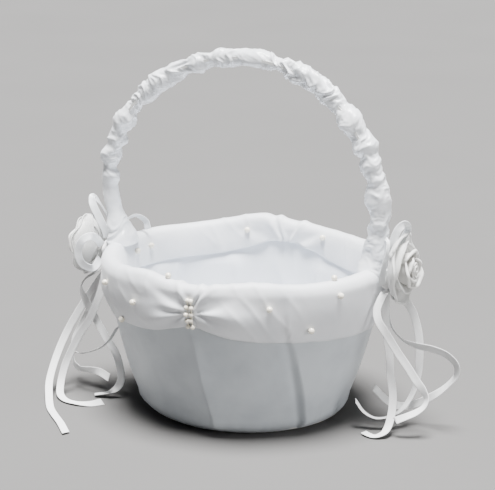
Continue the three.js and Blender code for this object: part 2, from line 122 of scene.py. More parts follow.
class BasketRibbon(bpy.types.PropertyGroup):
    width: length_setting("Ribbon width", "Width of the satin ribbon", 5 * MM)
    thickness: length_setting("Ribbon thickness", "Thickness of the ribbon's middle", 0.3 * MM)
    colour: colour_setting("Ribbon colour", "sRGB hex of the ribbon satin", "F3F5F7")


class BasketRose(bpy.types.PropertyGroup):
    petal_thickness: length_setting("Petal thickness", "Thickness of a petal's fabric", 0.3 * MM)
    bloom_colour: colour_setting("Bloom colour", "sRGB hex of the bloom's satin", "F1F0EE")
    petal_colour: colour_setting("Petal colour", "sRGB hex of the petals' organza", "EFEFED")


class BasketPearls(bpy.types.PropertyGroup):
    sink: length_setting("Sink", "How far a pearl sits down into the organza", 0.5 * MM)
    colour: colour_setting("Pearl colour", "sRGB hex of the pearls", "FCF6E8")


class BasketStage(bpy.types.PropertyGroup):
    camera_azimuth: bpy.props.FloatProperty(
        name="Camera azimuth", description="Turn of the camera round the basket",
        default=math.radians(22.84), subtype="ANGLE")
    camera_elevation: bpy.props.FloatProperty(
        name="Camera elevation", description="Height of the camera above the horizon",
        default=math.radians(15.18), subtype="ANGLE")
    camera_distance: bpy.props.FloatProperty(
        name="Camera distance", description="Distance from the camera to its target",
        default=1.244, unit="LENGTH")
    lens: bpy.props.FloatProperty(
        name="Lens", description="Focal length in millimetres on a 36 mm sensor", default=140.07)
    key_strength: bpy.props.FloatProperty(
        name="Key strength", description="Strength of the soft light overhead", default=18.5)
    side_power: bpy.props.FloatProperty(
        name="Side power", description="Power of the weak light at the right", default=11.0, unit="POWER")
    fill_strength: bpy.props.FloatProperty(
        name="Fill strength", description="Brightness of the light from all round", default=0.09)


# --- Small tools ----------------------------------------------------------------------------------

def linear_colour(hex_colour):
    """Linear RGBA of an sRGB hex colour."""
    channels = []
    for start in (0, 2, 4):
        value = int(hex_colour[start:start + 2], 16) / 255
        channels.append(value / 12.92 if value <= 0.04045 else ((value + 0.055) / 1.055) ** 2.4)
    return (*channels, 1.0)


def deselect_all():
    """Leaves edit mode and selects nothing."""
    if bpy.context.object is not None and bpy.context.object.mode != "OBJECT":
        bpy.ops.object.mode_set(mode="OBJECT")
    bpy.ops.object.select_all(action="DESELECT")


def make_active(piece):
    """Selects one piece alone and makes it the active one."""
    deselect_all()
    piece.select_set(True)
    bpy.context.view_layer.objects.active = piece


def apply_modifier(piece, kind, **settings):
    """Adds a modifier with its settings and applies it."""
    make_active(piece)
    modifier = piece.modifiers.new(kind.title(), kind)
    for name, value in settings.items():
        setattr(modifier, name, value)
    bpy.ops.object.modifier_apply(modifier=modifier.name)


def smooth(piece):
    """Shades every face of a piece smoothly."""
    piece.data.polygons.foreach_set("use_smooth", [True] * len(piece.data.polygons))
    piece.data.update()


def bump(distance, reach):
    """A rounded hump: 1 at no distance, about a third at the reach."""
    return math.exp(-(distance / reach) ** 2)


def blend(low, high, value):
    """0 below low, 1 above high and smooth between."""
    share = min(1.0, max(0.0, (value - low) / (high - low)))
    return share * share * (3 - 2 * share)


def ridges(x, y, z):
    """Noise with sharp crests, from 0 to 1, for gathered cloth."""
    return 1 - min(1.0, 2.2 * abs(noise.noise(Vector((x, y, z)))))


def angle_between(degrees, other):
    """Signed angle from the other to the first, from -180 to 180 degrees."""
    return (degrees - other + 180) % 360 - 180


def smooth_route(points, spacing):
    """Centripetal Catmull-Rom curve through the points, as evenly spaced points."""
    points = [Vector(point) for point in points]
    padded_points = [2 * points[0] - points[1], *points, 2 * points[-1] - points[-2]]
    dense = []
    for before, start, end, after in zip(padded_points, points, points[1:], padded_points[3:]):
        step_before = max(1e-6, (start - before).length ** 0.5)
        step = max(1e-6, (end - start).length ** 0.5)
        step_after = max(1e-6, (after - end).length ** 0.5)
        out_of = ((start - before) / step_before - (end - before) / (step_before + step)
                  + (end - start) / step) * step
        into = ((end - start) / step - (after - start) / (step + step_after)
                + (after - end) / step_after) * step
        for i in range(12):
            t = i / 12
            dense.append(start * (2 * t ** 3 - 3 * t ** 2 + 1) + out_of * (t ** 3 - 2 * t ** 2 + t)
                         + end * (3 * t ** 2 - 2 * t ** 3) + into * (t ** 3 - t ** 2))
    dense.append(points[-1])
    return even_points(dense, spacing)


def even_points(points, spacing):
    """The same line with about the given distance between its points."""
    along = [0.0]
    for start, end in zip(points, points[1:]):
        along.append(along[-1] + (end - start).length)
    count = max(2, round(along[-1] / spacing))
    result = []
    segment = 0
    for i in range(count + 1):
        wanted = along[-1] * i / count
        while segment < len(points) - 2 and along[segment + 1] < wanted:
            segment += 1
        length = max(1e-9, along[segment + 1] - along[segment])
        result.append(points[segment].lerp(points[segment + 1], (wanted - along[segment]) / length))
    return result


def line_length(points):
    """Length of the line through the points."""
    return sum((end - start).length for start, end in zip(points, points[1:]))


def grid_piece(name, rows, around=False, pole=False):
    """A sheet of quads through rows of points, with a UV map in metres called cloth. Around joins
    each row's ends, and pole closes the first row to its middle."""
    count = len(rows[0])
    vertices = [point for row in rows for point in row]
    spans = count if around else count - 1
    faces = []
    corners = []
    across = [0.0]
    middle = rows[len(rows) // 2]
    for i in range(spans):
        across.append(across[-1] + (Vector(middle[(i + 1) % count]) - Vector(middle[i])).length)
    up = [0.0]
    for low, high in zip(rows, rows[1:]):
        sample = range(0, count, max(1, count // 12))
        up.append(up[-1] + sum((Vector(high[i]) - Vector(low[i])).length for i in sample) / len(sample))
    for row in range(len(rows) - 1):
        for i in range(spans):
            j = (i + 1) % count
            faces.append((row * count + i, row * count + j, (row + 1) * count + j, (row + 1) * count + i))
            corners.append(((across[i], up[row]), (across[i + 1], up[row]),
                            (across[i + 1], up[row + 1]), (across[i], up[row + 1])))
    if pole:
        vertices.append(sum((Vector(point) for point in rows[0]), Vector()) / count)
        for i in range(spans):
            j = (i + 1) % count
            faces.append((len(vertices) - 1, j, i))
            corners.append(((across[i], up[0] - 0.01), (across[i + 1], up[0]), (across[i], up[0])))
    mesh = bpy.data.meshes.new(name)
    mesh.from_pydata([tuple(point) for point in vertices], [], faces)
    layer = mesh.uv_layers.new(name="cloth")
    layer.data.foreach_set("uv", [value for corner in corners for uv in corner for value in uv])
    piece = bpy.data.objects.new(name, mesh)
    bpy.context.scene.collection.objects.link(piece)
    return piece


def thicken(piece, thickness, offset=-1.0):
    """Gives a sheet its thickness: inward at -1, both ways at 0 and outward at 1."""
    apply_modifier(piece, "SOLIDIFY", thickness=thickness, offset=offset)
    smooth(piece)


def face_outward(piece):
    """Turns the faces over where the volume that they enclose comes out negative."""
    total = 0.0
    vertices = piece.data.vertices
    for face in piece.data.polygons:
        corners = [vertices[i].co for i in face.vertices]
        for i in range(1, len(corners) - 1):
            total += corners[0].dot(corners[i].cross(corners[i + 1]))
    if total < 0:
        piece.data.flip_normals()


def close_ends(piece, close):
    """Closes a piece's open edges with one of the mesh operators."""
    make_active(piece)
    bpy.ops.object.mode_set(mode="EDIT")
    bpy.ops.mesh.select_all(action="DESELECT")
    bpy.ops.mesh.select_mode(type="EDGE")
    bpy.ops.mesh.select_non_manifold()
    close()
    bpy.ops.object.mode_set(mode="OBJECT")
    smooth(piece)


def surface_tree(piece):
    """Search tree of a piece's faces."""
    return BVHTree.FromPolygons([vertex.co for vertex in piece.data.vertices],
                                [face.vertices for face in piece.data.polygons])


def join_pieces(pieces, name):
    """Joins the pieces into the first and names it."""
    make_active(pieces[0])
    for piece in pieces:
        piece.select_set(True)
    bpy.ops.object.join()
    pieces[0].name = name
    pieces[0].data.name = name
    return pieces[0]


def finish_piece(piece, material, slot, *nodes):
    """Gives a piece its material, its body and the nodes that it stands for. The slot is not used."""
    piece.data.materials.clear()
    piece.data.materials.append(material)
    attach(piece, "root")
    if nodes:
        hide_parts(*nodes)
    return piece


# --- Materials ------------------------------------------------------------------------------------

def add_node(tree, kind, settings=None, inputs=None):
    """Adds one node. An input is a number, a colour, or a (node, output) pair to link from."""
    node = tree.nodes.new(kind)
    for name, value in (settings or {}).items():
        setattr(node, name, value)
    for name, value in (inputs or {}).items():
        if isinstance(value, tuple) and isinstance(value[0], bpy.types.Node):
            tree.links.new(value[0].outputs[value[1]], node.inputs[name])
        else:
            node.inputs[name].default_value = value
    return node


def new_material(name, shader_inputs):
    """A material with a Principled shader, its tree and the shader."""
    material = bpy.data.materials.get(name)
    if material is not None:
        bpy.data.materials.remove(material)
    material = bpy.data.materials.new(name)
    material.use_nodes = True
    shader = material.node_tree.nodes["Principled BSDF"]
    for socket, value in shader_inputs.items():
        shader.inputs[socket].default_value = value
    return material, material.node_tree, shader


def two_tone(tree, shader, source, shade, colour, start=0.0, end=1.0):
    """Base colour that runs from a shade to a colour with the source's value."""
    tint = add_node(tree, "ShaderNodeValToRGB", None, {"Fac": (source, "Fac")})
    low, high = tint.color_ramp.elements
    low.position, high.position = start, end
    low.color, high.color = linear_colour(shade), linear_colour(colour)
    tree.links.new(tint.outputs["Color"], shader.inputs["Base Color"])


def wave_scale(pitch):
    """Scale of a wave texture whose bands repeat at a pitch in metres."""
    return math.pi / (10 * pitch)


def woven_material(name, colour, shade, thread, shader_inputs, crease=0.12 * MM):
    """Woven cloth: warp and weft from the piece's own map, soft creases and a slight cloudiness."""
    material, tree, shader = new_material(name, shader_inputs)
    cloth = add_node(tree, "ShaderNodeUVMap", {"uv_map": "cloth"})
    place = add_node(tree, "ShaderNodeTexCoord")
    warp = add_node(tree, "ShaderNodeTexWave", {"bands_direction": "X"},
                    {"Vector": (cloth, "UV"), "Scale": wave_scale(thread), "Distortion": 0.6})
    weft = add_node(tree, "ShaderNodeTexWave", {"bands_direction": "Y"},
                    {"Vector": (cloth, "UV"), "Scale": wave_scale(thread), "Distortion": 0.6})
    weave = add_node(tree, "ShaderNodeMath", {"operation": "MULTIPLY"},
                     {0: (warp, "Fac"), 1: (weft, "Fac")})
    clouds = add_node(tree, "ShaderNodeTexNoise", None,
                      {"Vector": (place, "Object"), "Scale": 55.0, "Detail": 3.0})
    two_tone(tree, shader, clouds, shade, colour, 0.3, 0.6)
    creases = add_node(tree, "ShaderNodeTexNoise", None,
                       {"Vector": (place, "Object"), "Scale": 130.0, "Detail": 2.0})
    soft = add_node(tree, "ShaderNodeBump", None,
                    {"Height": (creases, "Fac"), "Strength": 0.5, "Distance": crease})
    threads = add_node(tree, "ShaderNodeBump", None,
                       {"Height": (weave, 0), "Strength": 0.3, "Distance": 0.05 * MM,
                        "Normal": (soft, "Normal")})
    tree.links.new(threads.outputs["Normal"], shader.inputs["Normal"])
    return material


def duchess_satin_painted_shade(colour):
    """Heavy polyester satin, woven and pressed: a dull even gloss with soft creases. Its colour and its
    darker tone are greyed as painted shade for the body's overhanging wall. Its threads of about 0.1 mm
    are drawn at 0.7 mm so that they show."""
    # B8BEC4, the darker end of the satin's cloudiness, is greyed with painted shade like the body colour.
    return woven_material("duchess_satin_painted_shade", colour, "B8BEC4", 0.7 * MM, {
        "Roughness": 0.38, "IOR": 1.5, "Sheen Weight": 0.25, "Sheen Roughness": 0.4})


def lining_satin(colour):
    """Light polyester satin of the lining: duller than the outside, and paler than the outside's satin,
    which is greyed with painted shade.
    """
    return woven_material("lining_satin", colour, "E0E4EB", 0.7 * MM, {
        "Roughness": 0.5, "IOR": 1.5, "Sheen Weight": 0.25, "Sheen Roughness": 0.4})


def sleeve_satin(colour):
    """Charmeuse satin of the ruched sleeve: light and glossy, so that each gather has a highlight."""
    return woven_material("sleeve_charmeuse", colour, "E4E7EB", 0.6 * MM, {
        "Roughness": 0.27, "IOR": 1.5, "Sheen Weight": 0.2, "Sheen Roughness": 0.3})


def ribbon_satin(colour):
    """Single-face satin ribbon with woven edges, nearly as glossy as the sleeve."""
    return woven_material("ribbon_satin", colour, "E9ECEF", 0.6 * MM, {
        "Roughness": 0.3, "IOR": 1.5, "Sheen Weight": 0.15, "Sheen Roughness": 0.3}, 0.05 * MM)


def crystal_organza(colour):
    """Crisp sheer nylon organza in two layers: nearly closed, with threads of 0.3 mm drawn at 0.8 mm.
    It is whiter than the satin below it, whose grey is painted shade."""
    return woven_material("crystal_organza", colour, "ECEFF4", 0.8 * MM, {
        "Roughness": 0.55, "IOR": 1.5, "Alpha": 0.9, "Sheen Weight": 0.4, "Sheen Roughness": 0.5,
        "Subsurface Weight": 0.15, "Subsurface Scale": 4 * MM, "Subsurface Radius": (1, 1, 1)}, 0.08 * MM)


def rose_organza(colour):
    """Sheer organza petals in a slightly warm white, single layer, so more light comes through."""
    return woven_material("petal_organza", colour, "E2E2DF", 0.8 * MM, {
        "Roughness": 0.5, "IOR": 1.5, "Alpha": 0.78, "Sheen Weight": 0.4, "Sheen Roughness": 0.5,
        "Subsurface Weight": 0.3, "Subsurface Scale": 4 * MM, "Subsurface Radius": (1, 1, 1)}, 0.1 * MM)


def rose_satin(colour):
    """Satin ribbon rolled into the bloom, slightly warm, with bright turned lips."""
    return woven_material("bloom_satin", colour, "E0DEDA", 0.6 * MM, {
        "Roughness": 0.34, "IOR": 1.5, "Sheen Weight": 0.3, "Sheen Roughness": 0.35}, 0.1 * MM)


def pearl_lacquer(colour):
    """Moulded bead with a pearl lacquer: cream body colour, cloudy nacre and a clear hard gloss."""
    material, tree, shader = new_material("pearl_lacquer", {
        "Roughness": 0.16, "IOR": 1.55, "Coat Weight": 0.8, "Coat Roughness": 0.04,
        "Sheen Weight": 0.15})
    place = add_node(tree, "ShaderNodeTexCoord")
    nacre = add_node(tree, "ShaderNodeTexNoise", None,
                     {"Vector": (place, "Object"), "Scale": 420.0, "Detail": 2.0})
    two_tone(tree, shader, nacre, "EFE6D2", colour)
    return material


def grainy_material(name, colour, shade, grain, depth, shader_inputs):
    """A hard or felted stuff with a grain of the given size in its colour and its surface."""
    material, tree, shader = new_material(name, shader_inputs)
    place = add_node(tree, "ShaderNodeTexCoord")
    grains = add_node(tree, "ShaderNodeTexNoise", None,
                      {"Vector": (place, "Object"), "Scale": 1 / grain, "Detail": 4.0})
    two_tone(tree, shader, grains, shade, colour)
    relief = add_node(tree, "ShaderNodeBump", None,
                      {"Height": (grains, "Fac"), "Strength": 0.4, "Distance": depth})
    tree.links.new(relief.outputs["Normal"], shader.inputs["Normal"])
    return material


def grey_board():
    """Recycled card, pressed: matt, with short fibres of about 2 mm."""
    return grainy_material("grey_board", "CFC6B2", "B9AE98", 2 * MM, 0.05 * MM, {"Roughness": 0.9})


def staple_steel():
    """Galvanised steel wire, drawn: grey with a fine streaky gloss."""
    return grainy_material("galvanised_wire", "B9BCC0", "9A9DA1", 0.6 * MM, 0.01 * MM, {
        "Roughness": 0.34, "Metallic": 1.0})


def strip_plastic():
    """Extruded polypropylene strip: milky white and slightly waxy."""
    return grainy_material("polypropylene_strip", "ECECEA", "DFDFDC", 3 * MM, 0.02 * MM, {
        "Roughness": 0.48})


def polyester_wadding():
    """Bonded polyester wadding: white, matt and lofty, with fibres of about 1.5 mm."""
    return grainy_material("polyester_wadding", "F5F4F0", "E4E2DB", 1.5 * MM, 0.4 * MM, {
        "Roughness": 0.95, "Sheen Weight": 0.3})


# --- Body shape -----------------------------------------------------------------------------------

# Pressed pleats: angle at the foot and at the cuff, height of the ridge, how far it fades to each
# side, the step at its line, and the groove beside it.
PLEATS = (
    (5.6, -2.3, 6.4 * MM, 11 * MM, 34 * MM, 0.8 * MM, 0.0),
    (53.2, 37.2, 3.2 * MM, 1.6 * MM, 18 * MM, 0.5 * MM, 1.6 * MM),
    (187.0, 179.0, 4.0 * MM, 11 * MM, 32 * MM, 0.8 * MM, 0.0),
    (232.0, 218.0, 2.2 * MM, 1.6 * MM, 18 * MM, 0.5 * MM, 1.3 * MM),
    (-58.0, -46.0, 2.0 * MM, 26 * MM, 16 * MM, 0.0, 0.0),
    (-128.0, -118.0, 2.0 * MM, 22 * MM, 16 * MM, 0.4 * MM, 0.0),
)


def wall_half_width(height, body):
    """Half width of the body's outside along X at a height on the wall."""
    foot = body.foot_half_width + body.foot_edge_radius
    share = (height - body.foot_edge_radius) / (BODY_HEIGHT - body.foot_edge_radius)
    return foot + (MOUTH_HALF_WIDTH - foot) * share + 4 * body.belly * share * (1 - share)


def oval_point(half_width, degrees, height):
    """A point on the oval: 0 degrees is the front and 90 the right foot of the handle."""
    turn = math.radians(degrees)
    return Vector((half_width * math.sin(turn), -DEPTH_RATIO * half_width * math.cos(turn), height))


def pleat_lift(degrees, height, half_width):
    """How far the pleats lift the satin off the plain oval."""
    share = min(1.0, max(0.0, (height - 7 * MM) / (BODY_HEIGHT - 27 * MM)))
    strength = (0.35 + 0.65 * blend(1.0, 0.35, share)) * blend(0.0, 9 * MM, height)
    lift = 0.0
    for foot_angle, cuff_angle, ridge, left, right, step, groove in PLEATS:
        line = foot_angle + (cuff_angle - foot_angle) * share
        distance = math.radians(angle_between(degrees, line)) * half_width
        if abs(distance) > 4 * max(left, right, 8 * MM):
            continue
        reach = left if distance < 0 else right
        lift += ridge * math.exp(-abs(distance) / reach) * strength
        if distance < 0:
            dent = step * bump(distance, 5 * MM) + groove * bump(distance + 2.5 * MM, 3.2 * MM)
            lift -= dent * strength
    return lift


def body_point(degrees, along, body):
    """A point of the satin cover. Along runs 0 to 1 from the underside's middle to the rim."""
    radius = body.foot_edge_radius
    flat, edge, wall = body.foot_half_width, radius * math.pi / 2, BODY_HEIGHT - radius
    travelled = along * (flat + edge + wall)
    if travelled < flat:
        half_width, height = max(2 * MM, travelled), 0.0
        near = blend(0.5 * flat, flat, travelled)
        gathers = near * body.foot_gather * ridges(degrees / 7, 0.0, 3.1)
        return oval_point(half_width, degrees, gathers * 0.6)
    if travelled < flat + edge:
        turn = (travelled - flat) / radius
        half_width = flat + radius * math.sin(turn)
        height = radius - radius * math.cos(turn)
    else:
        height = min(BODY_HEIGHT, radius + travelled - flat - edge)
        half_width = wall_half_width(height, body)
    lift = pleat_lift(degrees, height, half_width)
    tuck = bump(height - 4 * MM, 9 * MM)
    lift -= body.foot_gather * tuck * ridges(degrees / 6.5, height * 40, 1.7)
    turn = math.radians(degrees)
    lift += 0.7 * MM * noise.noise(Vector((1.6 * math.sin(turn), 1.6 * math.cos(turn), height * 22)))
    lift *= blend(BODY_HEIGHT, BODY_HEIGHT - 18 * MM, height)
    return oval_point(half_width + max(lift, -0.4 * MM), degrees, height)


class BASKET_OT_cover(bpy.types.Operator):
    """Satin over the outside of the body and its underside, with pressed pleats"""
    bl_idname = "basket.cover"
    bl_label = "Cover"

    def execute(self, context):
        body = context.scene.basket_body
        around, steps = 540, 58
        rows = [[body_point(360 * i / around, row / steps, body) for i in range(around)]
                for row in range(1, steps + 1)]
        piece = grid_piece("cover", rows, around=True, pole=True)
        thicken(piece, body.satin_thickness)
        # The cover's satin is greyed with painted shade for its overhanging wall.
        finish_piece(piece, duchess_satin_painted_shade(body.satin_colour_painted_shade), "cover_satin", "outer_cover")
        return {"FINISHED"}


class BASKET_OT_lining(bpy.types.Operator):
    """Satin cup inside the basket, falling in soft folds from the rim"""
    bl_idname = "basket.lining"
    bl_label = "Lining"

    def execute(self, context):
        body = context.scene.basket_body
        low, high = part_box("lining")
        floor = low.z + 0.4 * MM
        around, floor_steps, wall_steps = 420, 14, 34
        foot = wall_half_width(floor, body) - body.lining_inset
        rows = []
        for step in range(1, floor_steps):
            half_width = foot * step / floor_steps
            rows.append([self.floor_point(360 * i / around, half_width, foot, floor)
                         for i in range(around)])
        for step in range(wall_steps + 1):
            height = floor + (high.z - floor) * step / wall_steps
            rows.append([self.wall_point(360 * i / around, height, floor, body)
                         for i in range(around)])
        piece = grid_piece("lining_cup", rows, around=True, pole=True)
        thicken(piece, body.satin_thickness, 1.0)
        finish_piece(piece, lining_satin(body.lining_colour), "lining_satin", "lining")
        return {"FINISHED"}

    @staticmethod
    def floor_point(degrees, half_width, foot, floor):
        """The bottom of the cup, puckered a little towards its edge."""
        pucker = 0.5 * MM * ridges(degrees / 11, half_width * 60, 8.2) * blend(0.5, 1.0, half_width / foot)
        return oval_point(half_width, degrees, floor + pucker)

    @staticmethod
    def wall_point(degrees, height, floor, body):
        """The side of the cup: folds that start at the rim and fade above the bottom."""
        share = (height - floor) / (BODY_HEIGHT - floor)
        drift = 5 * math.sin(math.radians(3 * degrees)) * (1 - share)
        sharp = ridges((degrees + drift) / 17, share * 0.7, 5.3)
        broad = 0.5 + 0.5 * math.sin(math.radians(7 * (degrees + drift)) + 1.2)
        depth = (2.2 * sharp ** 2 + 2.4 * broad) * MM * blend(0.0, 0.35, share)
        depth *= 1 - 0.75 * blend(BODY_HEIGHT - 24 * MM, BODY_HEIGHT - 14 * MM, height)
        half_width = wall_half_width(height, body) - body.lining_inset - depth
        return oval_point(half_width, degrees, height)


class BASKET_OT_padding(bpy.types.Operator):
    """Wadding pad between the cover and the base board"""
    bl_idname = "basket.padding"
    bl_label = "Base padding"

    def execute(self, context):
        low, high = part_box("base_padding")
        middle, half_height = (low.z + high.z) / 2, (high.z - low.z) / 2
        around, steps = 120, 20
        rows = []
        for step in range(1, steps):
            turn = math.pi * (step / steps - 0.5)
            height = middle + half_height * math.sin(turn)
            half_width = high.x - 5 * half_height * (1 - math.cos(turn)) - 0.3 * MM
            rows.append([self.pad_point(360 * i / around, half_width, height) for i in range(around)])
        flat_low = [[point.lerp(Vector((0, 0, point.z)), share) for point in rows[0]]
                    for share in (0.95, 0.6, 0.3)]
        flat_high = [[point.lerp(Vector((0, 0, point.z)), share) for point in rows[-1]]
                     for share in (0.3, 0.6, 0.95)]
        piece = grid_piece("base_wadding", [*flat_low, *rows, *flat_high], around=True, pole=True)
        close_ends(piece, bpy.ops.mesh.fill)
        finish_piece(piece, polyester_wadding(), "wadding", "base_padding")
        return {"FINISHED"}

    @staticmethod
    def pad_point(degrees, half_width, height):
        """A point of the pad, a little uneven as wadding is."""
        turn = math.radians(degrees)
        loft = 0.2 * MM * noise.noise(Vector((9 * math.sin(turn), 9 * math.cos(turn), height * 300)))
        return oval_point(half_width + loft, degrees, height)


# --- Cuff -----------------------------------------------------------------------------------------

# Angle of the pinch at the front and at the back.
PINCHES = (0.0, 180.0)

# The cuff's section: how far each point stands out from the body's wall, and its height, which is a
# share of the way from the hem to the shoulder or a height above the body's top.
SHOULDER_BELOW_TOP = 7 * MM
OUTER_SECTION = ((1.0, 0.0), (1.9, 0.16), (3.0, 0.4), (3.5, 0.7), (3.1, 1.0))
RIM_SECTION = ((2.2, 0.4, 0.7), (-0.2, 4.0, 1.0), (-4.4, 4.9, 1.0), (-7.6, 3.4, 1.0), (-9.3, 0.3, 0.9))
INNER_SECTION = ((-10.0, -5.0, 0.6), (-10.1, -11.0, 0.4), (-9.6, -16.5, 0.3))


def pinch_distance(degrees):
    """Signed distance along the rim to the nearest pinch."""
    nearest = min((angle_between(degrees, pinch) for pinch in PINCHES), key=abs)
    return math.radians(nearest) * MOUTH_HALF_WIDTH * DEPTH_RATIO


def hem_height(degrees, cuff):
    """Height of the outer hem, drawn up towards each pinch."""
    facing = math.cos(math.radians(degrees)) ** 2
    plain = cuff.side_hem + (cuff.front_hem - cuff.side_hem) * facing
    ripple = 0.8 * MM * noise.noise(Vector((degrees / 19, 4.0, 0.0)))
    return plain + ripple + (cuff.pinch_hem - cuff.front_hem) * bump(pinch_distance(degrees), 17 * MM)


def rim_shift(degrees, cuff):
    """The rim is pulled down at a pinch. It stands up beside the front one and in a low peak at the
    back."""
    distance = pinch_distance(degrees)
    front = abs(angle_between(degrees, 0)) < 90
    beside = bump(distance + 34 * MM, 17 * MM) + 0.7 * bump(distance - 38 * MM, 20 * MM)
    peak = 5.0 * bump(angle_between(degrees, 190), 20) - 0.8 * bump(angle_between(degrees, 228), 22)
    peak -= 0.8 * bump(angle_between(degrees, 150), 22)
    rise = 3.4 * beside if front else peak
    return rise * MM - cuff.rim_dip * bump(distance, 13 * MM)


def cuff_section(degrees, cuff):
    """The cuff's section at an angle, from the outer hem over the rim to the inner hem, as points of
    (how far out, height)."""
    hem = hem_height(degrees, cuff)
    shoulder = BODY_HEIGHT - SHOULDER_BELOW_TOP
    shift = rim_shift(degrees, cuff)
    near_pinch = bump(pinch_distance(degrees), 9 * MM)
    puff = 2.6 * MM * (bump(abs(pinch_distance(degrees)) - 22 * MM, 15 * MM))
    puff += 1.8 * MM * bump(angle_between(degrees, -78), 32)
    section = []
    for out, share in OUTER_SECTION:
        height = hem + (shoulder - hem) * share
        swell = math.sin(math.pi * min(1.0, share * 0.9 + 0.05))
        lift = pleat_lift(degrees, height, MOUTH_HALF_WIDTH) * (1 - 0.5 * share)
        drawn = (1 - 0.72 * near_pinch) * out * MM
        section.append((drawn + puff * swell + lift, height + 0.3 * share * shift))
    drawn_up = 1 - 0.55 * bump(pinch_distance(degrees), 30 * MM)
    for out, above, weight in (*RIM_SECTION, *INNER_SECTION):
        above *= drawn_up if above < 0 else 1
        section.append((out * MM - 0.5 * MM * near_pinch, BODY_HEIGHT + above * MM + weight * shift))
    return section


def gather_depth(degrees, along, out_height):
    """Fan of gathers round each pinch and light creases everywhere else."""
    distance = pinch_distance(degrees)
    up = out_height - (BODY_HEIGHT - 12 * MM)
    radius = math.hypot(distance, up)
    fan = math.atan2(up, distance)
    folds = math.cos(9 * fan + 4 * noise.noise(Vector((fan * 1.5, 0.0, radius * 30))))
    depth = 1.9 * MM * bump(radius, 27 * MM) * folds * radius / (radius + 6 * MM)
    streaks = ridges(degrees / 9 + 3 * along, along * 2.2, 6.6) ** 3
    depth += 0.55 * MM * streaks * blend(30 * MM, 10 * MM, abs(abs(distance) - 40 * MM))
    turn = math.radians(degrees)
    depth += 0.6 * MM * noise.noise(Vector((3 * math.sin(turn), 3 * math.cos(turn), along * 3)))
    at_handle = min(abs(angle_between(degrees, 90)), abs(angle_between(degrees, -90)))
    depth += 0.9 * MM * math.cos(math.radians(degrees * 24)) * bump(at_handle, 11)
    return depth


class BASKET_OT_cuff(bpy.types.Operator):
    """Organza folded over the rim, drawn together at the front and the back"""
    bl_idname = "basket.cuff"
    bl_label = "Cuff"

    def execute(self, context):
        body = context.scene.basket_body
        cuff = context.scene.basket_cuff
        around, steps = 640, 44
        columns = [self.column(360 * i / around, steps, body, cuff) for i in range(around)]
        rows = [[column[row] for column in columns] for row in range(steps + 1)]
        piece = grid_piece("organza_cuff", rows, around=True)
        thicken(piece, cuff.thickness, 0.0)
        finish_piece(piece, crystal_organza(cuff.colour), "cuff_organza", "cuff")
        return {"FINISHED"}

    @staticmethod
    def column(degrees, steps, body, cuff):
        """Points of the cuff at one angle, from the outer hem to the inner hem."""
        section = [Vector((out, height, 0)) for out, height in cuff_section(degrees, cuff)]
        line = even_points(smooth_route(section, 1 * MM), line_length(section) / steps)
        line = [line[round(i * (len(line) - 1) / steps)] for i in range(steps + 1)]
        points = []
        for i, point in enumerate(line):
            ahead = line[min(i + 1, steps)] - line[max(i - 1, 0)]
            normal = Vector((ahead.y, -ahead.x, 0)).normalized()
            depth = gather_depth(degrees, i / steps, point.y)
            depth *= 0.4 + 0.6 * blend(0.0, 0.08, i / steps)
            over_wire = bump(point.y - BODY_HEIGHT - 3 * MM, 4 * MM)
            depth = max(depth, 0.0) + min(depth, 0.0) * (1 - 0.85 * over_wire)
            shifted = point + normal * depth
            wall = wall_half_width(min(point.y, BODY_HEIGHT), body)
            points.append(oval_point(wall + shifted.x, degrees, shifted.y))
        return points


# --- Handle ---------------------------------------------------------------------------------------

# The sleeve along the hoop, from the left foot to the right: share of its length, radius in
# millimetres, depth of its gathers in millimetres, and how far it bulges outward.
SLEEVE_STATIONS = (
    (0.000, 9.6, 0.7, -0.6), (0.030, 8.2, 0.5, -0.4), (0.065, 5.9, 0.15, 0.0), (0.108, 5.9, 0.25, 0.0),
    (0.127, 7.0, 0.5, 0.7), (0.142, 5.4, 0.6, 0.0), (0.166, 7.5, 0.9, -1.0), (0.184, 5.9, 0.6, 0.0),
    (0.199, 7.0, 0.7, 0.8), (0.215, 5.7, 0.6, 0.0), (0.233, 7.4, 0.8, 0.2), (0.273, 5.0, 0.9, 0.0),
    (0.308, 6.8, 0.9, 0.3), (0.340, 7.2, 0.8, -0.3), (0.370, 6.6, 0.9, 0.3), (0.398, 5.0, 0.9, 0.0),
    (0.419, 7.1, 0.6, 0.8), (0.446, 5.4, 0.8, 0.0), (0.466, 6.5, 0.5, 0.2), (0.500, 5.9, 0.6, 0.3),
    (0.530, 6.4, 0.5, 0.0), (0.566, 5.4, 1.2, 0.0), (0.605, 6.7, 1.2, 0.4), (0.640, 6.3, 1.2, -0.2),
    (0.672, 6.7, 1.2, 0.4), (0.701, 5.8, 1.1, 0.0), (0.731, 7.8, 0.8, 0.5), (0.757, 6.0, 1.0, 0.0),
    (0.783, 7.8, 0.8, -0.3), (0.797, 6.4, 0.9, 0.0), (0.811, 7.5, 0.7, 0.6), (0.840, 6.6, 0.8, 0.0),
    (0.875, 8.0, 0.6, 0.7), (0.892, 6.7, 1.1, 0.0), (0.932, 6.8, 1.1, 0.0), (0.972, 8.0, 0.7, 0.0),
    (1.000, 9.6, 0.6, 0.0),
)
HOOP_WIDE_HEIGHT = 140 * MM
HOOP_HALF_WIDTH = 93.8 * MM
HOOP_LEAN = -3.3 * MM
SLEEVE_FOOT_BELOW_RIM = 3 * MM
CENTRELINE_BELOW_STRIP_TOP = 0.8 * MM
FOOT_INSIDE_MOUTH = 4.6 * MM


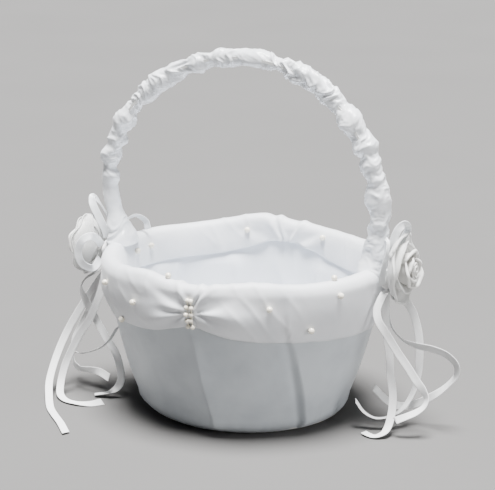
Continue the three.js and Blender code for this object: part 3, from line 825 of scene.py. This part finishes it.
def hoop_line(spacing):
    """The hoop's centreline from the left foot to the right, evenly spaced."""
    top = STRIP_TOP - CENTRELINE_BELOW_STRIP_TOP
    foot = MOUTH_HALF_WIDTH - FOOT_INSIDE_MOUTH
    half = []
    for i in range(33):
        turn = math.pi / 2 * i / 32
        height = HOOP_WIDE_HEIGHT + (top - HOOP_WIDE_HEIGHT) * math.sin(turn)
        half.append((HOOP_HALF_WIDTH * math.cos(turn), height))
    low = RIM_TOP - SLEEVE_FOOT_BELOW_RIM
    for i in range(9):
        height = HOOP_WIDE_HEIGHT + (low - HOOP_WIDE_HEIGHT) * (i + 1) / 9
        share = max(0.0, (height - RIM_TOP) / (HOOP_WIDE_HEIGHT - RIM_TOP))
        half.insert(0, (foot + (HOOP_HALF_WIDTH - foot) * math.sin(share * math.pi / 2), height))
    points = []
    for side, part in ((-1, half[:-1]), (1, half[::-1])):
        for half_width, height in part:
            rise = max(0.0, (height - RIM_TOP) / (top - RIM_TOP))
            lean = HOOP_LEAN * math.sin(math.pi * min(1.0, rise))
            points.append(Vector((side * half_width + lean, 0, height)))
    return even_points(points, spacing)


def station_at(share):
    """Radius, gather depth and bulge of the sleeve at a share of its length."""
    for low, high in zip(SLEEVE_STATIONS, SLEEVE_STATIONS[1:]):
        if share <= high[0]:
            mix = blend(low[0], high[0], share)
            return [a + (b - a) * mix for a, b in zip(low[1:], high[1:])]
    return list(SLEEVE_STATIONS[-1][1:])


def sleeve_radius(share, along, turn, pitch):
    """Distance from the centreline to the sleeve: puffs between pinches, with gathers that run
    round it and twist a little."""
    radius, depth, _ = station_at(share)
    twist = turn + 2.2 * noise.noise(Vector((along * 28, 0.0, 9.0)))
    x, y = math.cos(twist), math.sin(twist)
    bend = 1.4 * noise.noise(Vector((x * 0.8, y * 0.8, along * 45)))
    coarse = ridges(along / pitch * 0.62 + bend, x * 0.55, y * 0.55)
    fine = ridges(along / pitch * 1.5 + 2 * bend, x * 1.2, y * 1.2 + 7)
    gathers = depth * (1.7 * (coarse - 0.6) + 0.6 * (fine - 0.5))
    oval = 0.35 * math.cos(2 * twist)
    return (5.9 + 1.3 * (radius - 6.4) + gathers + oval) * MM


class BASKET_OT_sleeve(bpy.types.Operator):
    """Satin tube ruched along the hoop handle"""
    bl_idname = "basket.sleeve"
    bl_label = "Handle sleeve"

    def execute(self, context):
        handle = context.scene.basket_handle
        line = hoop_line(0.56 * MM)
        length = line_length(line)
        sides = 54
        rows = []
        for i, centre in enumerate(line):
            share = i / (len(line) - 1)
            ahead = (line[min(i + 1, len(line) - 1)] - line[max(i - 1, 0)]).normalized()
            across = Vector((0, 1, 0))
            outward = ahead.cross(across) * -1
            bulge = station_at(share)[2] * MM
            flare = 1 + 0.25 * (bump(share, 0.03) + bump(1 - share, 0.03))
            row = []
            for j in range(sides):
                turn = 2 * math.pi * j / sides
                radius = sleeve_radius(share, share * length, turn, handle.gather_pitch)
                row.append(centre + outward * (radius * math.cos(turn) + bulge)
                           + across * (radius * flare * math.sin(turn)))
            rows.append(row)
        piece = grid_piece("ruched_sleeve", rows, around=True)
        face_outward(piece)
        thicken(piece, handle.satin_thickness)
        finish_piece(piece, sleeve_satin(handle.colour), "sleeve_satin", "handle_sleeve")
        return {"FINISHED"}


# --- Ribbon ---------------------------------------------------------------------------------------

# Which way a hanging ribbon's face looks.
FACING = Vector((0.4, -0.88, 0.25))
UP = Vector((0, 0, 1))
# The lowest that any point of a ribbon comes to the floor.
LEAST_CLEARANCE = 0.1 * MM


def ribbon_piece(name, points, stations, ribbon, cut=0.35):
    """A flat ribbon along evenly spaced points. Stations are (share of its length, how flat it lies
    from 0 for facing the front to 1 for lying on the floor, turn in degrees about its own length).
    Its edges are woven a little thicker, and its far end is cut at a slant."""
    half, thick = ribbon.width / 2, ribbon.thickness / 2
    edge = 0.5 * MM
    section = [(-half, 0.0), (-half + edge / 3, -thick * 1.5), (-half + edge, -thick * 1.5),
               (-half + 2 * edge, -thick), (0.0, -thick), (half - 2 * edge, -thick),
               (half - edge, -thick * 1.5), (half - edge / 3, -thick * 1.5), (half, 0.0),
               (half - edge / 3, thick * 1.5), (half - edge, thick * 1.5), (half - 2 * edge, thick),
               (0.0, thick), (-half + 2 * edge, thick), (-half + edge, thick * 1.5),
               (-half + edge / 3, thick * 1.5)]
    rows = []
    last = len(points) - 1
    for i, point in enumerate(points):
        share = i / last
        ahead = (points[min(i + 1, last)] - points[max(i - 1, 0)]).normalized()
        lie, turn = lay_at(stations, share)
        facing = FACING.lerp(UP, lie)
        facing = (facing - ahead * facing.dot(ahead)).normalized()
        side = ahead.cross(facing)
        turned = facing * math.cos(turn) + side * math.sin(turn)
        side = ahead.cross(turned)
        slant = cut * (1 if i == last else 0)
        row = [point + side * x + turned * y + ahead * (x * slant) for x, y in section]
        sunk = max(0.0, LEAST_CLEARANCE - min(place.z for place in row))
        rows.append([place + UP * sunk for place in row])
    piece = grid_piece(name, rows, around=True)
    face_outward(piece)
    close_ends(piece, bpy.ops.mesh.edge_face_add)
    return piece


def lay_at(stations, share):
    """How flat the ribbon lies and its turn in radians at a share of its length."""
    if share <= stations[0][0]:
        return stations[0][1], math.radians(stations[0][2])
    for low, high in zip(stations, stations[1:]):
        if share <= high[0]:
            mix = blend(low[0], high[0], share)
            return low[1] + (high[1] - low[1]) * mix, math.radians(low[2] + (high[2] - low[2]) * mix)
    return stations[-1][1], math.radians(stations[-1][2])


# Each streamer's route in millimetres, from its knot to its cut end, and how it lies on the way.
STREAMERS = {
    "streamer_left_1": (
        [(-98, -8, 90), (-101, -8, 85), (-107, -7, 79.5), (-113, -7, 75), (-116, -8, 69),
         (-112, -10, 62), (-106, -12, 54), (-100, -14, 46.5), (-93, -16, 38), (-86, -18, 30),
         (-82, -20, 22), (-80, -22, 14), (-82, -23, 8), (-88, -24.5, 4), (-98, -26, 1.4)],
        ((0.0, 0, 55), (0.2, 0, 80), (0.34, 0, 10), (0.8, 0, 0), (0.95, 1, 0))),
    "streamer_left_2": (
        [(-98, -4, 90), (-98, -6, 83), (-99, -8.5, 75), (-100, -11, 68), (-102, -14.5, 60),
         (-105, -17.5, 51), (-111, -20, 41), (-116, -22.5, 30), (-120, -25.5, 19), (-121, -30, 9),
         (-118, -37, 3), (-111, -43, 1.4), (-102, -45.5, 1.4), (-93, -44, 1.4), (-86, -38, 1.4)],
        ((0.0, 0, 0), (0.5, 0, 0), (0.72, 0.9, 0), (0.85, 1, 0), (1.0, 0.7, 20))),
    "streamer_left_3": (
        [(-98, 0, 90), (-99, -2, 82), (-102, -4, 73), (-105, -5.5, 64), (-109, -7, 54),
         (-113, -9, 44), (-117, -11, 34), (-120, -13, 25), (-119.5, -14.5, 18), (-114, -17, 15),
         (-105, -20, 16), (-95, -24, 17), (-86, -28, 15.5)],
        ((0.0, 0, 0), (0.45, 0, 5), (0.62, 0, 75), (0.74, 0, 40), (1.0, 0.2, 10))),
    "streamer_left_4": (
        [(-98, 4, 90), (-101, 2, 80), (-105.5, 1, 70), (-110, 0.5, 61), (-116, 1, 49),
         (-123, 2, 37), (-127.5, 1, 28), (-127, -1, 22), (-121, -4, 21), (-112, -9, 24),
         (-102, -15, 29), (-93, -21, 35), (-86, -24, 42), (-81, -24, 50)],
        ((0.0, 0, 20), (0.4, 0, 30), (0.6, 0, 80), (1.0, 0, 72))),
    "streamer_left_5": (
        [(-98, 8, 90), (-103, 7, 80), (-110, 5, 70), (-117, 3, 59), (-123, -3, 47),
         (-128, -10, 34), (-130, -20, 21), (-128, -33, 10), (-121, -47, 4), (-113, -60, 1.4),
         (-104, -71, 1.4), (-94, -82, 1.4), (-82, -97, 1.4)],
        ((0.0, 0, 0), (0.35, 0, 0), (0.6, 1, 0), (1.0, 1, 0))),
    "streamer_right_1": (
        [(98, -4, 90), (98.5, -6, 84), (99, -8, 76), (99.5, -8.5, 68), (101, -9, 59),
         (103, -10, 49), (104, -11, 38), (106, -12, 28), (107, -14, 19), (107, -17, 12),
         (106.5, -21, 6.5), (105, -25, 3.5), (100, -27.5, 1.4), (95, -26, 1.4), (91, -23, 1.4)],
        ((0.0, 0, 0), (0.6, 0, 0), (0.85, 0.9, 0), (1.0, 1, 0))),
    "streamer_right_2": (
        [(98, -8, 90), (97, -12.5, 86), (96, -16, 80), (98, -18, 74), (102, -18, 68),
         (106, -17, 61.5), (111, -16, 53.5), (117, -15, 45), (122, -14, 37), (126.5, -13, 30.5),
         (129, -13.5, 25.5), (128, -15.5, 21), (124, -17.5, 17.5), (118, -20, 14.5), (111, -21, 11)],
        ((0.0, 0, 30), (0.2, 0, 10), (0.62, 0, 0), (0.78, 0, 65), (0.9, 0.2, 30), (1.0, 0.3, 10))),
    "streamer_right_3": (
        [(98, 4, 90), (101, 7, 85.5), (106, 9.5, 81), (111, 9, 75), (115, 8, 65), (117, 7, 55),
         (117.5, 6, 44), (117, 5, 34), (115.5, 3, 25), (113, 0, 18), (109, -5, 12), (102, -10, 8.5),
         (95, -13, 8), (88, -15, 12), (83, -16, 19)],
        ((0.0, 0, 20), (0.2, 0, 0), (0.45, 0, 10), (0.62, 0, 60), (0.8, 0.1, 80), (1.0, 0, 70))),
    "streamer_right_4": (
        [(98, 0, 90), (98, 0, 80), (99.5, 0, 68), (104, 0, 61), (110, 0, 57), (118, 0, 55),
         (128, 0, 54), (137, 1, 51), (143, 2, 45), (143, 3, 38), (138, 4, 31), (132, 4.5, 25),
         (124, 5, 19), (115, 5, 14), (106, 5, 11.5), (98, 5, 13.5), (88, 5, 21.5)],
        ((0.0, 0, 70), (0.2, 0, 85), (0.35, 0, 30), (0.6, 0, 60), (0.75, 0, 10), (1.0, 0, 30))),
}


class BASKET_OT_streamers(bpy.types.Operator):
    """Nine cut ends of satin ribbon that hang from the knots to the floor"""
    bl_idname = "basket.streamers"
    bl_label = "Streamers"

    def execute(self, context):
        ribbon = context.scene.basket_ribbon
        material = ribbon_satin(ribbon.colour)
        for name, (route, stations) in STREAMERS.items():
            points = smooth_route([Vector(point) * MM for point in route], 1.1 * MM)
            piece = ribbon_piece(name + "_ribbon", points, stations, ribbon)
            finish_piece(piece, material, "ribbon_satin", name)
            tuple(points[0])
            round(line_length(points), 4)
            [tuple(point) for point in points]
        return {"FINISHED"}


# Each bow loop in millimetres from the middle of its knot: outward, along Y and up.
BOW_LOOPS = {
    "bow_loop_left_top": (
        [(0, 4, 7.6), (2, 5, 15), (6, 4, 24), (10, 1, 32), (11, -3, 34), (9, -6, 30), (4, -6, 20),
         (1, -5, 13), (0, -4, 7.6)],
        ((0.0, 0, 70), (0.35, 0, 80), (0.5, 0, 40), (0.62, 0, 0), (1.0, 0, 10))),
    "bow_loop_left_front": (
        [(0, -12, 4), (-1, -20, 10), (0, -27, 14), (4, -31, 12), (7, -32, 4), (5, -31, -4),
         (0, -26, -8), (-1, -16, -4)],
        ((0.0, 0, 10), (0.5, 0, 0), (1.0, 0, 20))),
    "bow_loop_left_back": (
        [(0, 12, 0), (3, 17, 6), (-1, 21, 13), (-9, 22, 17), (-16, 22, 14), (-18, 21, 9)],
        ((0.0, 0, 60), (0.5, 0, 75), (1.0, 0, 30))),
    "bow_loop_right_top": (
        [(0, -4, 7.6), (2, -6, 17), (5, -7, 26), (8, -6, 34), (11, -3, 37), (12, 1, 34), (8, 4, 26),
         (3, 5, 16), (0, 4, 7.6)],
        ((0.0, 0, 0), (0.4, 0, 0), (0.55, 0, 40), (1.0, 0, 60))),
    "bow_loop_right_small": (
        [(0, -12, -1), (1, -14, 7), (3, -13, 18), (3, -10.5, 26), (1.5, -9, 27), (1, -8.5, 19),
         (0.5, -8, 9)],
        ((0.0, 0, 30), (0.5, 0, 60), (1.0, 0, 80))),
}


def knot_middle(side):
    """Middle of the knot at a side: -1 is left and 1 is right."""
    return Vector((side * (KNOT_LOW.x + KNOT_HIGH.x) / 2, 0, (KNOT_LOW.z + KNOT_HIGH.z) / 2))


class BASKET_OT_bow_loops(bpy.types.Operator):
    """Loops of satin ribbon above, in front of and behind the roses"""
    bl_idname = "basket.bow_loops"
    bl_label = "Bow loops"

    def execute(self, context):
        ribbon = context.scene.basket_ribbon
        material = ribbon_satin(ribbon.colour)
        for name, (route, stations) in BOW_LOOPS.items():
            side = -1 if "left" in name else 1
            middle = knot_middle(side)
            route = [middle + Vector((side * out, y, up)) * MM for out, y, up in route]
            points = smooth_route(route, 0.9 * MM)
            piece = ribbon_piece(name + "_ribbon", points, stations, ribbon, cut=0.0)
            finish_piece(piece, material, "ribbon_satin", name)
            length = round(line_length(points), 4)
        return {"FINISHED"}


class BASKET_OT_knots(bpy.types.Operator):
    """Ribbon knots behind the roses, wrapped in three turns of ribbon"""
    bl_idname = "basket.knots"
    bl_label = "Bow knots"

    def execute(self, context):
        ribbon = context.scene.basket_ribbon
        material = ribbon_satin(ribbon.colour)
        size = KNOT_HIGH - KNOT_LOW
        for side, name in ((-1, "left"), (1, "right")):
            deselect_all()
            bpy.ops.mesh.primitive_uv_sphere_add(
                segments=48, ring_count=24, radius=0.5, location=(0, 0, 0))
            piece = context.object
            piece.name = "knot_wrap_" + name
            bpy.ops.object.mode_set(mode="EDIT")
            bpy.ops.mesh.select_all(action="SELECT")
            bpy.ops.transform.rotate(value=math.radians(90), orient_axis="X", center_override=(0, 0, 0))
            bpy.ops.transform.resize(value=tuple(size), center_override=(0, 0, 0))
            bpy.ops.object.mode_set(mode="OBJECT")
            middle = knot_middle(side)
            for vertex in piece.data.vertices:
                place = vertex.co
                wrap = abs(math.sin(math.pi * (place.y / size.y * 3 + 0.5 * place.z / size.z)))
                vertex.co = middle + place * (0.86 + 0.14 * wrap ** 0.5)
            smooth(piece)
            piece.data.uv_layers[0].name = "cloth"
            finish_piece(piece, material, "ribbon_satin", "bow_knot_" + name)
        return {"FINISHED"}


# --- Roses ----------------------------------------------------------------------------------------

def petal_rows(place, middle, half_angle, low_radius, radius, low_out, out, roll, wave, phase):
    """One cupped petal about the rose's axis: narrow at its base, round at its top, with a rolled
    lip. Place maps (a, b, out) into the basket's frame."""
    up_steps, across_steps = 22, 26
    rows = []
    for row in range(up_steps + 1):
        v = row / up_steps
        line = []
        for column in range(across_steps + 1):
            u = 2 * column / across_steps - 1
            reach = 1 - 0.32 * u * u
            rise = min(1.0, v / 0.8)
            r = low_radius + (radius - low_radius) * math.sin(rise * math.pi / 2) ** 0.6
            height = low_out + (out - low_out) * rise ** 1.5 * reach
            if v > 0.8:
                curl = (v - 0.8) / 0.2 * math.radians(215)
                curl_radius = roll * (1 - 0.5 * u * u)
                r += curl_radius * (1 - math.cos(curl))
                height += curl_radius * math.sin(curl)
            spread = half_angle * (0.42 + 0.58 * math.sin(min(v, 0.7) / 0.7 * math.pi / 2))
            spread *= 1 - 0.12 * blend(0.7, 1.0, v)
            turn = middle + u * spread
            ripple = wave * v * v * math.sin(2.6 * math.pi * u + phase)
            ripple += 0.5 * wave * v * noise.noise(Vector((3 * u + phase, 4 * v, middle)))
            r += ripple
            line.append(place(r * math.cos(turn), r * math.sin(turn), height + ripple))
        rows.append(line)
    return rows


def coil_rows(place, start, turns, low_radius, pitch, out, drop, roll):
    """The rolled heart of a bloom: one band in a spiral with its lip turned out."""
    up_steps, along_steps = 16, int(60 * turns)
    rows = []
    for row in range(up_steps + 1):
        v = row / up_steps
        line = []
        for column in range(along_steps + 1):
            turned = turns * column / along_steps
            turn = start + 2 * math.pi * turned
            wobble = 0.5 * MM * noise.noise(Vector((math.cos(turn), math.sin(turn), turned * 1.7)))
            r = low_radius + pitch * turned + wobble
            height = (out - drop * turned) * min(1.0, v / 0.75)
            r -= 0.25 * pitch * (1 - min(1.0, v / 0.75))
            if v > 0.75:
                curl = (v - 0.75) / 0.25 * math.radians(200)
                r += roll * (1 - math.cos(curl))
                height += roll * math.sin(curl)
            line.append(place(r * math.cos(turn), r * math.sin(turn), height))
        rows.append(line)
    return rows


def petal_ring(name, place, count, start, parts, thickness, half_angle, low_radius, radius,
               low_out, out, roll, wave):
    """Adds a ring of overlapping petals to the parts."""
    for i in range(count):
        middle = start + 2 * math.pi * i / count
        vary = 1 + 0.08 * math.sin(5 * i + start)
        rows = petal_rows(place, middle, half_angle, low_radius + 0.35 * MM * (i % 2), radius * vary,
                          low_out, out * (1 + 0.07 * math.cos(3 * i + start)), roll, wave, 2.1 * i + start)
        petal = grid_piece(f"{name}_{i}", rows)
        apply_modifier(petal, "SOLIDIFY", thickness=thickness, offset=0.0)
        parts.append(petal)


class BASKET_OT_roses(bpy.types.Operator):
    """A rolled satin bloom in two rows of organza petals at each foot of the handle"""
    bl_idname = "basket.roses"
    bl_label = "Roses"

    def execute(self, context):
        rose = context.scene.basket_rose
        bloom_material = rose_satin(rose.bloom_colour)
        petal_material = rose_organza(rose.petal_colour)
        thickness = rose.petal_thickness
        for side, name, start in ((-1, "left", 0.2), (1, "right", 3.3)):
            petals_low, petals_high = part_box("rose_petals_" + name)
            bloom_low, bloom_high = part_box("rose_bloom_" + name)
            centre = (petals_low + petals_high) / 2
            back = min(abs(petals_low.x), abs(petals_high.x))
            radius = (petals_high.z - petals_low.z) / 2
            bloom_radius = (bloom_high.z - bloom_low.z) / 2
            depth = max(abs(bloom_low.x), abs(bloom_high.x)) - back

            def place(a, b, out, side=side, centre=centre, back=back):
                return Vector((side * (back + out), centre.y + side * a, centre.z + b))
            parts = []
            petal_ring("outer", place, 3, start, parts, thickness, 1.35, 3 * MM, radius * 0.93,
                       0.5 * MM, depth * 0.5, 0.9 * MM, 0.9 * MM)
            petal_ring("middle", place, 3, start + 1.05, parts, thickness, 1.25, 3 * MM, radius * 0.74,
                       1 * MM, depth * 0.68, 0.6 * MM, 0.4 * MM)
            petals = join_pieces(parts, "organza_petals_" + name)
            smooth(petals)
            finish_piece(petals, petal_material, "rose_organza", "rose_petals_" + name)
            parts = []
            petal_ring("lip", place, 3, start + 0.2, parts, thickness, 1.2, 2.5 * MM,
                       bloom_radius * 0.84, 4 * MM, depth * 0.9, 1.1 * MM, 0.3 * MM)
            petal_ring("inner_lip", place, 3, start + 1.2, parts, thickness, 1.2, 2.5 * MM,
                       bloom_radius * 0.56, 5 * MM, depth * 0.94, 0.9 * MM, 0.2 * MM)
            coil = grid_piece("coil", coil_rows(place, start, 2.2, 0.8 * MM, 1.7 * MM, depth * 0.96,
                                                0.6 * MM, 0.6 * MM))
            apply_modifier(coil, "SOLIDIFY", thickness=thickness, offset=0.0)
            parts.append(coil)
            bloom = join_pieces(parts, "satin_bloom_" + name)
            smooth(bloom)
            finish_piece(bloom, bloom_material, "rose_satin", "rose_bloom_" + name)
        return {"FINISHED"}


# --- Pearls ---------------------------------------------------------------------------------------

def pearl_template(context, radius):
    """One bead at the origin, with the ends of its thread hole sunk in."""
    deselect_all()
    bpy.ops.mesh.primitive_uv_sphere_add(segments=20, ring_count=14, radius=radius, location=(0, 0, 0))
    bead = context.object
    bpy.ops.object.mode_set(mode="EDIT")
    bpy.ops.mesh.select_mode(type="FACE")
    for end in (-1, 1):
        bpy.ops.mesh.select_all(action="DESELECT")
        bpy.ops.object.mode_set(mode="OBJECT")
        for face in bead.data.polygons:
            face.select = face.normal.z * end > 0.985
        bpy.ops.object.mode_set(mode="EDIT")
        bpy.ops.mesh.inset(thickness=radius * 0.06)
        bpy.ops.transform.translate(value=(0, 0, -end * radius * 0.16))
    bpy.ops.object.mode_set(mode="OBJECT")
    smooth(bead)
    return bead


def seat_on(tree, outside, towards, radius, sink):
    """Where a bead's middle comes when it is pushed onto the cloth along a line."""
    direction = (towards - outside).normalized()
    found, normal, _, _ = tree.ray_cast(outside, direction)
    if found is None:
        raise RuntimeError("no organza under a pearl")
    if normal.dot(direction) > 0:
        normal = -normal
    return found + normal * (radius - sink)


PEARLS_PER_STRING = 5
THREAD_RADIUS = 0.4 * MM
# A distance from the middle of the basket along Y that is well outside the cuff.
OUTSIDE_CUFF = 130 * MM


class BASKET_OT_pearls(bpy.types.Operator):
    """Single pearls over the cuff and strings of pearls on its pinches"""
    bl_idname = "basket.pearls"
    bl_label = "Pearls"

    def execute(self, context):
        pearls = context.scene.basket_pearls
        material = pearl_lacquer(pearls.colour)
        radius = (PEARL_HIGH.z - PEARL_LOW.z) / 2
        cloth = surface_tree(bpy.data.objects["organza_cuff"])
        plain_tree = surface_tree(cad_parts["cuff"])
        template = pearl_template(context, radius)
        low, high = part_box("pearl_string_front_a")
        small_template = pearl_template(context, (high.x - low.x) / 2)
        nodes = sorted(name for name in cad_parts
                       if name.startswith("pearl_") and "string" not in name)
        for node in nodes:
            low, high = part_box(node)
            middle = (low + high) / 2
            foot = plain_tree.find_nearest(middle)[0]
            outside = middle + (middle - foot).normalized() * 12 * MM
            seat = seat_on(cloth, outside, foot, radius, pearls.sink)
            bead = self.bead(context, template, "bead_" + node[6:], seat)
            finish_piece(bead, material, "pearl", node)
        for node in ("pearl_string_front_a", "pearl_string_front_b",
                     "pearl_string_back_a", "pearl_string_back_b"):
            self.string(context, small_template, node, cloth, pearls.sink, material)
        bpy.data.objects.remove(template)
        bpy.data.objects.remove(small_template)
        return {"FINISHED"}

    @staticmethod
    def bead(context, template, name, seat):
        """A copy of the bead with its own mesh, its hole turned to run round the basket at its seat."""
        bead = template.copy()
        bead.data = template.data.copy()
        bead.name = name
        context.scene.collection.objects.link(bead)
        tilt = Vector((seat.y, -seat.x, 0)).normalized().to_track_quat("Z", "Y")
        for vertex in bead.data.vertices:
            vertex.co = seat + tilt @ vertex.co
        return bead

    def string(self, context, template, node, cloth, sink, material):
        """A column of pearls on a thread over a pinch."""
        low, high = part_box(node)
        radius = (high.x - low.x) / 2
        facing = 1 if "back" in node else -1
        x = (low.x + high.x) / 2
        seats = []
        for i in range(PEARLS_PER_STRING):
            z = low.z + radius + (high.z - low.z - 2 * radius) * i / (PEARLS_PER_STRING - 1)
            outside = Vector((x, facing * OUTSIDE_CUFF, z))
            seats.append(seat_on(cloth, outside, Vector((x, 0, z)), radius, sink))
        parts = [self.bead(context, template, f"{node}_{i}", seat) for i, seat in enumerate(seats)]
        deselect_all()
        span = seats[-1] - seats[0]
        bpy.ops.mesh.primitive_cylinder_add(vertices=8, radius=THREAD_RADIUS, depth=span.length)
        thread = context.object
        turn = span.to_track_quat("Z", "Y")
        middle = (seats[0] + seats[-1]) / 2
        for vertex in thread.data.vertices:
            vertex.co = middle + turn @ vertex.co
        thread.location = (0, 0, 0)
        parts.append(thread)
        piece = join_pieces(parts, node.replace("pearl_string", "bead_string"))
        finish_piece(piece, material, "pearl", node)


# --- Hidden frame parts ---------------------------------------------------------------------------

class BASKET_OT_hidden_parts(bpy.types.Operator):
    """Materials for the card, wire, strip and staples inside the basket"""
    bl_idname = "basket.hidden_parts"
    bl_label = "Hidden parts"

    def execute(self, context):
        board, steel, plastic = grey_board(), staple_steel(), strip_plastic()
        finishes = {"side_wall": board, "base_board": board, "rim_wire": steel, "handle_strip": plastic}
        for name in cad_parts:
            if name.startswith("staple_"):
                finishes[name] = steel
        for name, material in finishes.items():
            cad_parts[name].material_slots[0].material = material
        return {"FINISHED"}


# --- Stage ----------------------------------------------------------------------------------------

class BASKET_OT_camera(bpy.types.Operator):
    """Camera in front of the basket and a little to the right"""
    bl_idname = "basket.camera"
    bl_label = "Camera"

    def execute(self, context):
        stage = context.scene.basket_stage
        turn, rise = stage.camera_azimuth, stage.camera_elevation
        right = Vector((math.cos(turn), math.sin(turn), 0))
        back = Vector((math.sin(turn) * math.cos(rise), -math.cos(turn) * math.cos(rise), math.sin(rise)))
        target = right * 1.6 * MM + Vector((0, 0, 108.5 * MM))
        data = bpy.data.cameras.new("camera")
        data.lens = stage.lens
        data.sensor_width = 36
        camera = bpy.data.objects.new("camera", data)
        camera.location = target + back * stage.camera_distance
        camera.rotation_euler = back.to_track_quat("Z", "Y").to_euler()
        context.scene.collection.objects.link(camera)
        context.scene.camera = camera
        return {"FINISHED"}


class BASKET_OT_stage(bpy.types.Operator):
    """Plain grey floor and soft light"""
    bl_idname = "basket.stage"
    bl_label = "Floor and light"

    def execute(self, context):
        stage = context.scene.basket_stage
        deselect_all()
        bpy.ops.mesh.primitive_plane_add(size=6, location=(0, 0, 0))
        floor = context.object
        floor.name = "floor"
        material, tree, shader = new_material("painted_floor", {"Roughness": 0.85})
        place = add_node(tree, "ShaderNodeTexCoord")
        clouds = add_node(tree, "ShaderNodeTexNoise", None, {"Vector": (place, "Object"), "Scale": 6.0})
        two_tone(tree, shader, clouds, "5F5E5D", "646362")
        floor.data.materials.append(material)
        self.light(context, "overhead", "SUN", (0.05, -0.12, 1.4), stage.key_strength)
        self.light(context, "side", "AREA", (1.4, -0.3, 0.4), stage.side_power)
        world = bpy.data.worlds.new("soft_room")
        world.use_nodes = True
        world.node_tree.nodes["Background"].inputs["Color"].default_value = linear_colour("D5D9DE")
        world.node_tree.nodes["Background"].inputs["Strength"].default_value = stage.fill_strength
        context.scene.world = world
        return {"FINISHED"}

    @staticmethod
    def light(context, name, kind, place, power):
        """A soft light that looks at the basket's middle."""
        data = bpy.data.lights.new(name, kind)
        data.energy = power
        if kind == "SUN":
            data.angle = math.radians(26)
        else:
            data.size = 0.6
        light = bpy.data.objects.new(name, data)
        light.location = place
        aim = Vector(place) - Vector((0, 0, 0.1))
        light.rotation_euler = aim.to_track_quat("Z", "Y").to_euler()
        context.scene.collection.objects.link(light)


class BASKET_PT_panel(bpy.types.Panel):
    """The basket's pieces, in the order that they are made"""
    bl_label = "Flower Girl Basket"
    bl_idname = "BASKET_PT_panel"
    bl_space_type = "VIEW_3D"
    bl_region_type = "UI"
    bl_category = "Basket"

    def draw(self, context):
        for operator in OPERATORS:
            self.layout.operator(operator.bl_idname)


OPERATORS = (
    BASKET_OT_camera, BASKET_OT_streamers, BASKET_OT_cover, BASKET_OT_padding, BASKET_OT_lining,
    BASKET_OT_cuff, BASKET_OT_sleeve, BASKET_OT_knots, BASKET_OT_roses, BASKET_OT_bow_loops,
    BASKET_OT_pearls, BASKET_OT_hidden_parts, BASKET_OT_stage,
)
SETTINGS = {
    "basket_body": BasketBody, "basket_cuff": BasketCuff, "basket_handle": BasketHandle,
    "basket_ribbon": BasketRibbon, "basket_rose": BasketRose, "basket_pearls": BasketPearls,
    "basket_stage": BasketStage,
}


def register():
    for name, settings in SETTINGS.items():
        bpy.utils.register_class(settings)
        setattr(bpy.types.Scene, name, bpy.props.PointerProperty(type=settings))
    for operator in OPERATORS:
        bpy.utils.register_class(operator)
    bpy.utils.register_class(BASKET_PT_panel)


def unregister():
    bpy.utils.unregister_class(BASKET_PT_panel)
    for operator in reversed(OPERATORS):
        bpy.utils.unregister_class(operator)
    for name, settings in SETTINGS.items():
        delattr(bpy.types.Scene, name)
        bpy.utils.unregister_class(settings)


def main():
    register()
    for operator in OPERATORS:
        group, action = operator.bl_idname.split(".")
        getattr(getattr(bpy.ops, group), action)()


if __name__ == "__main__":
    main()
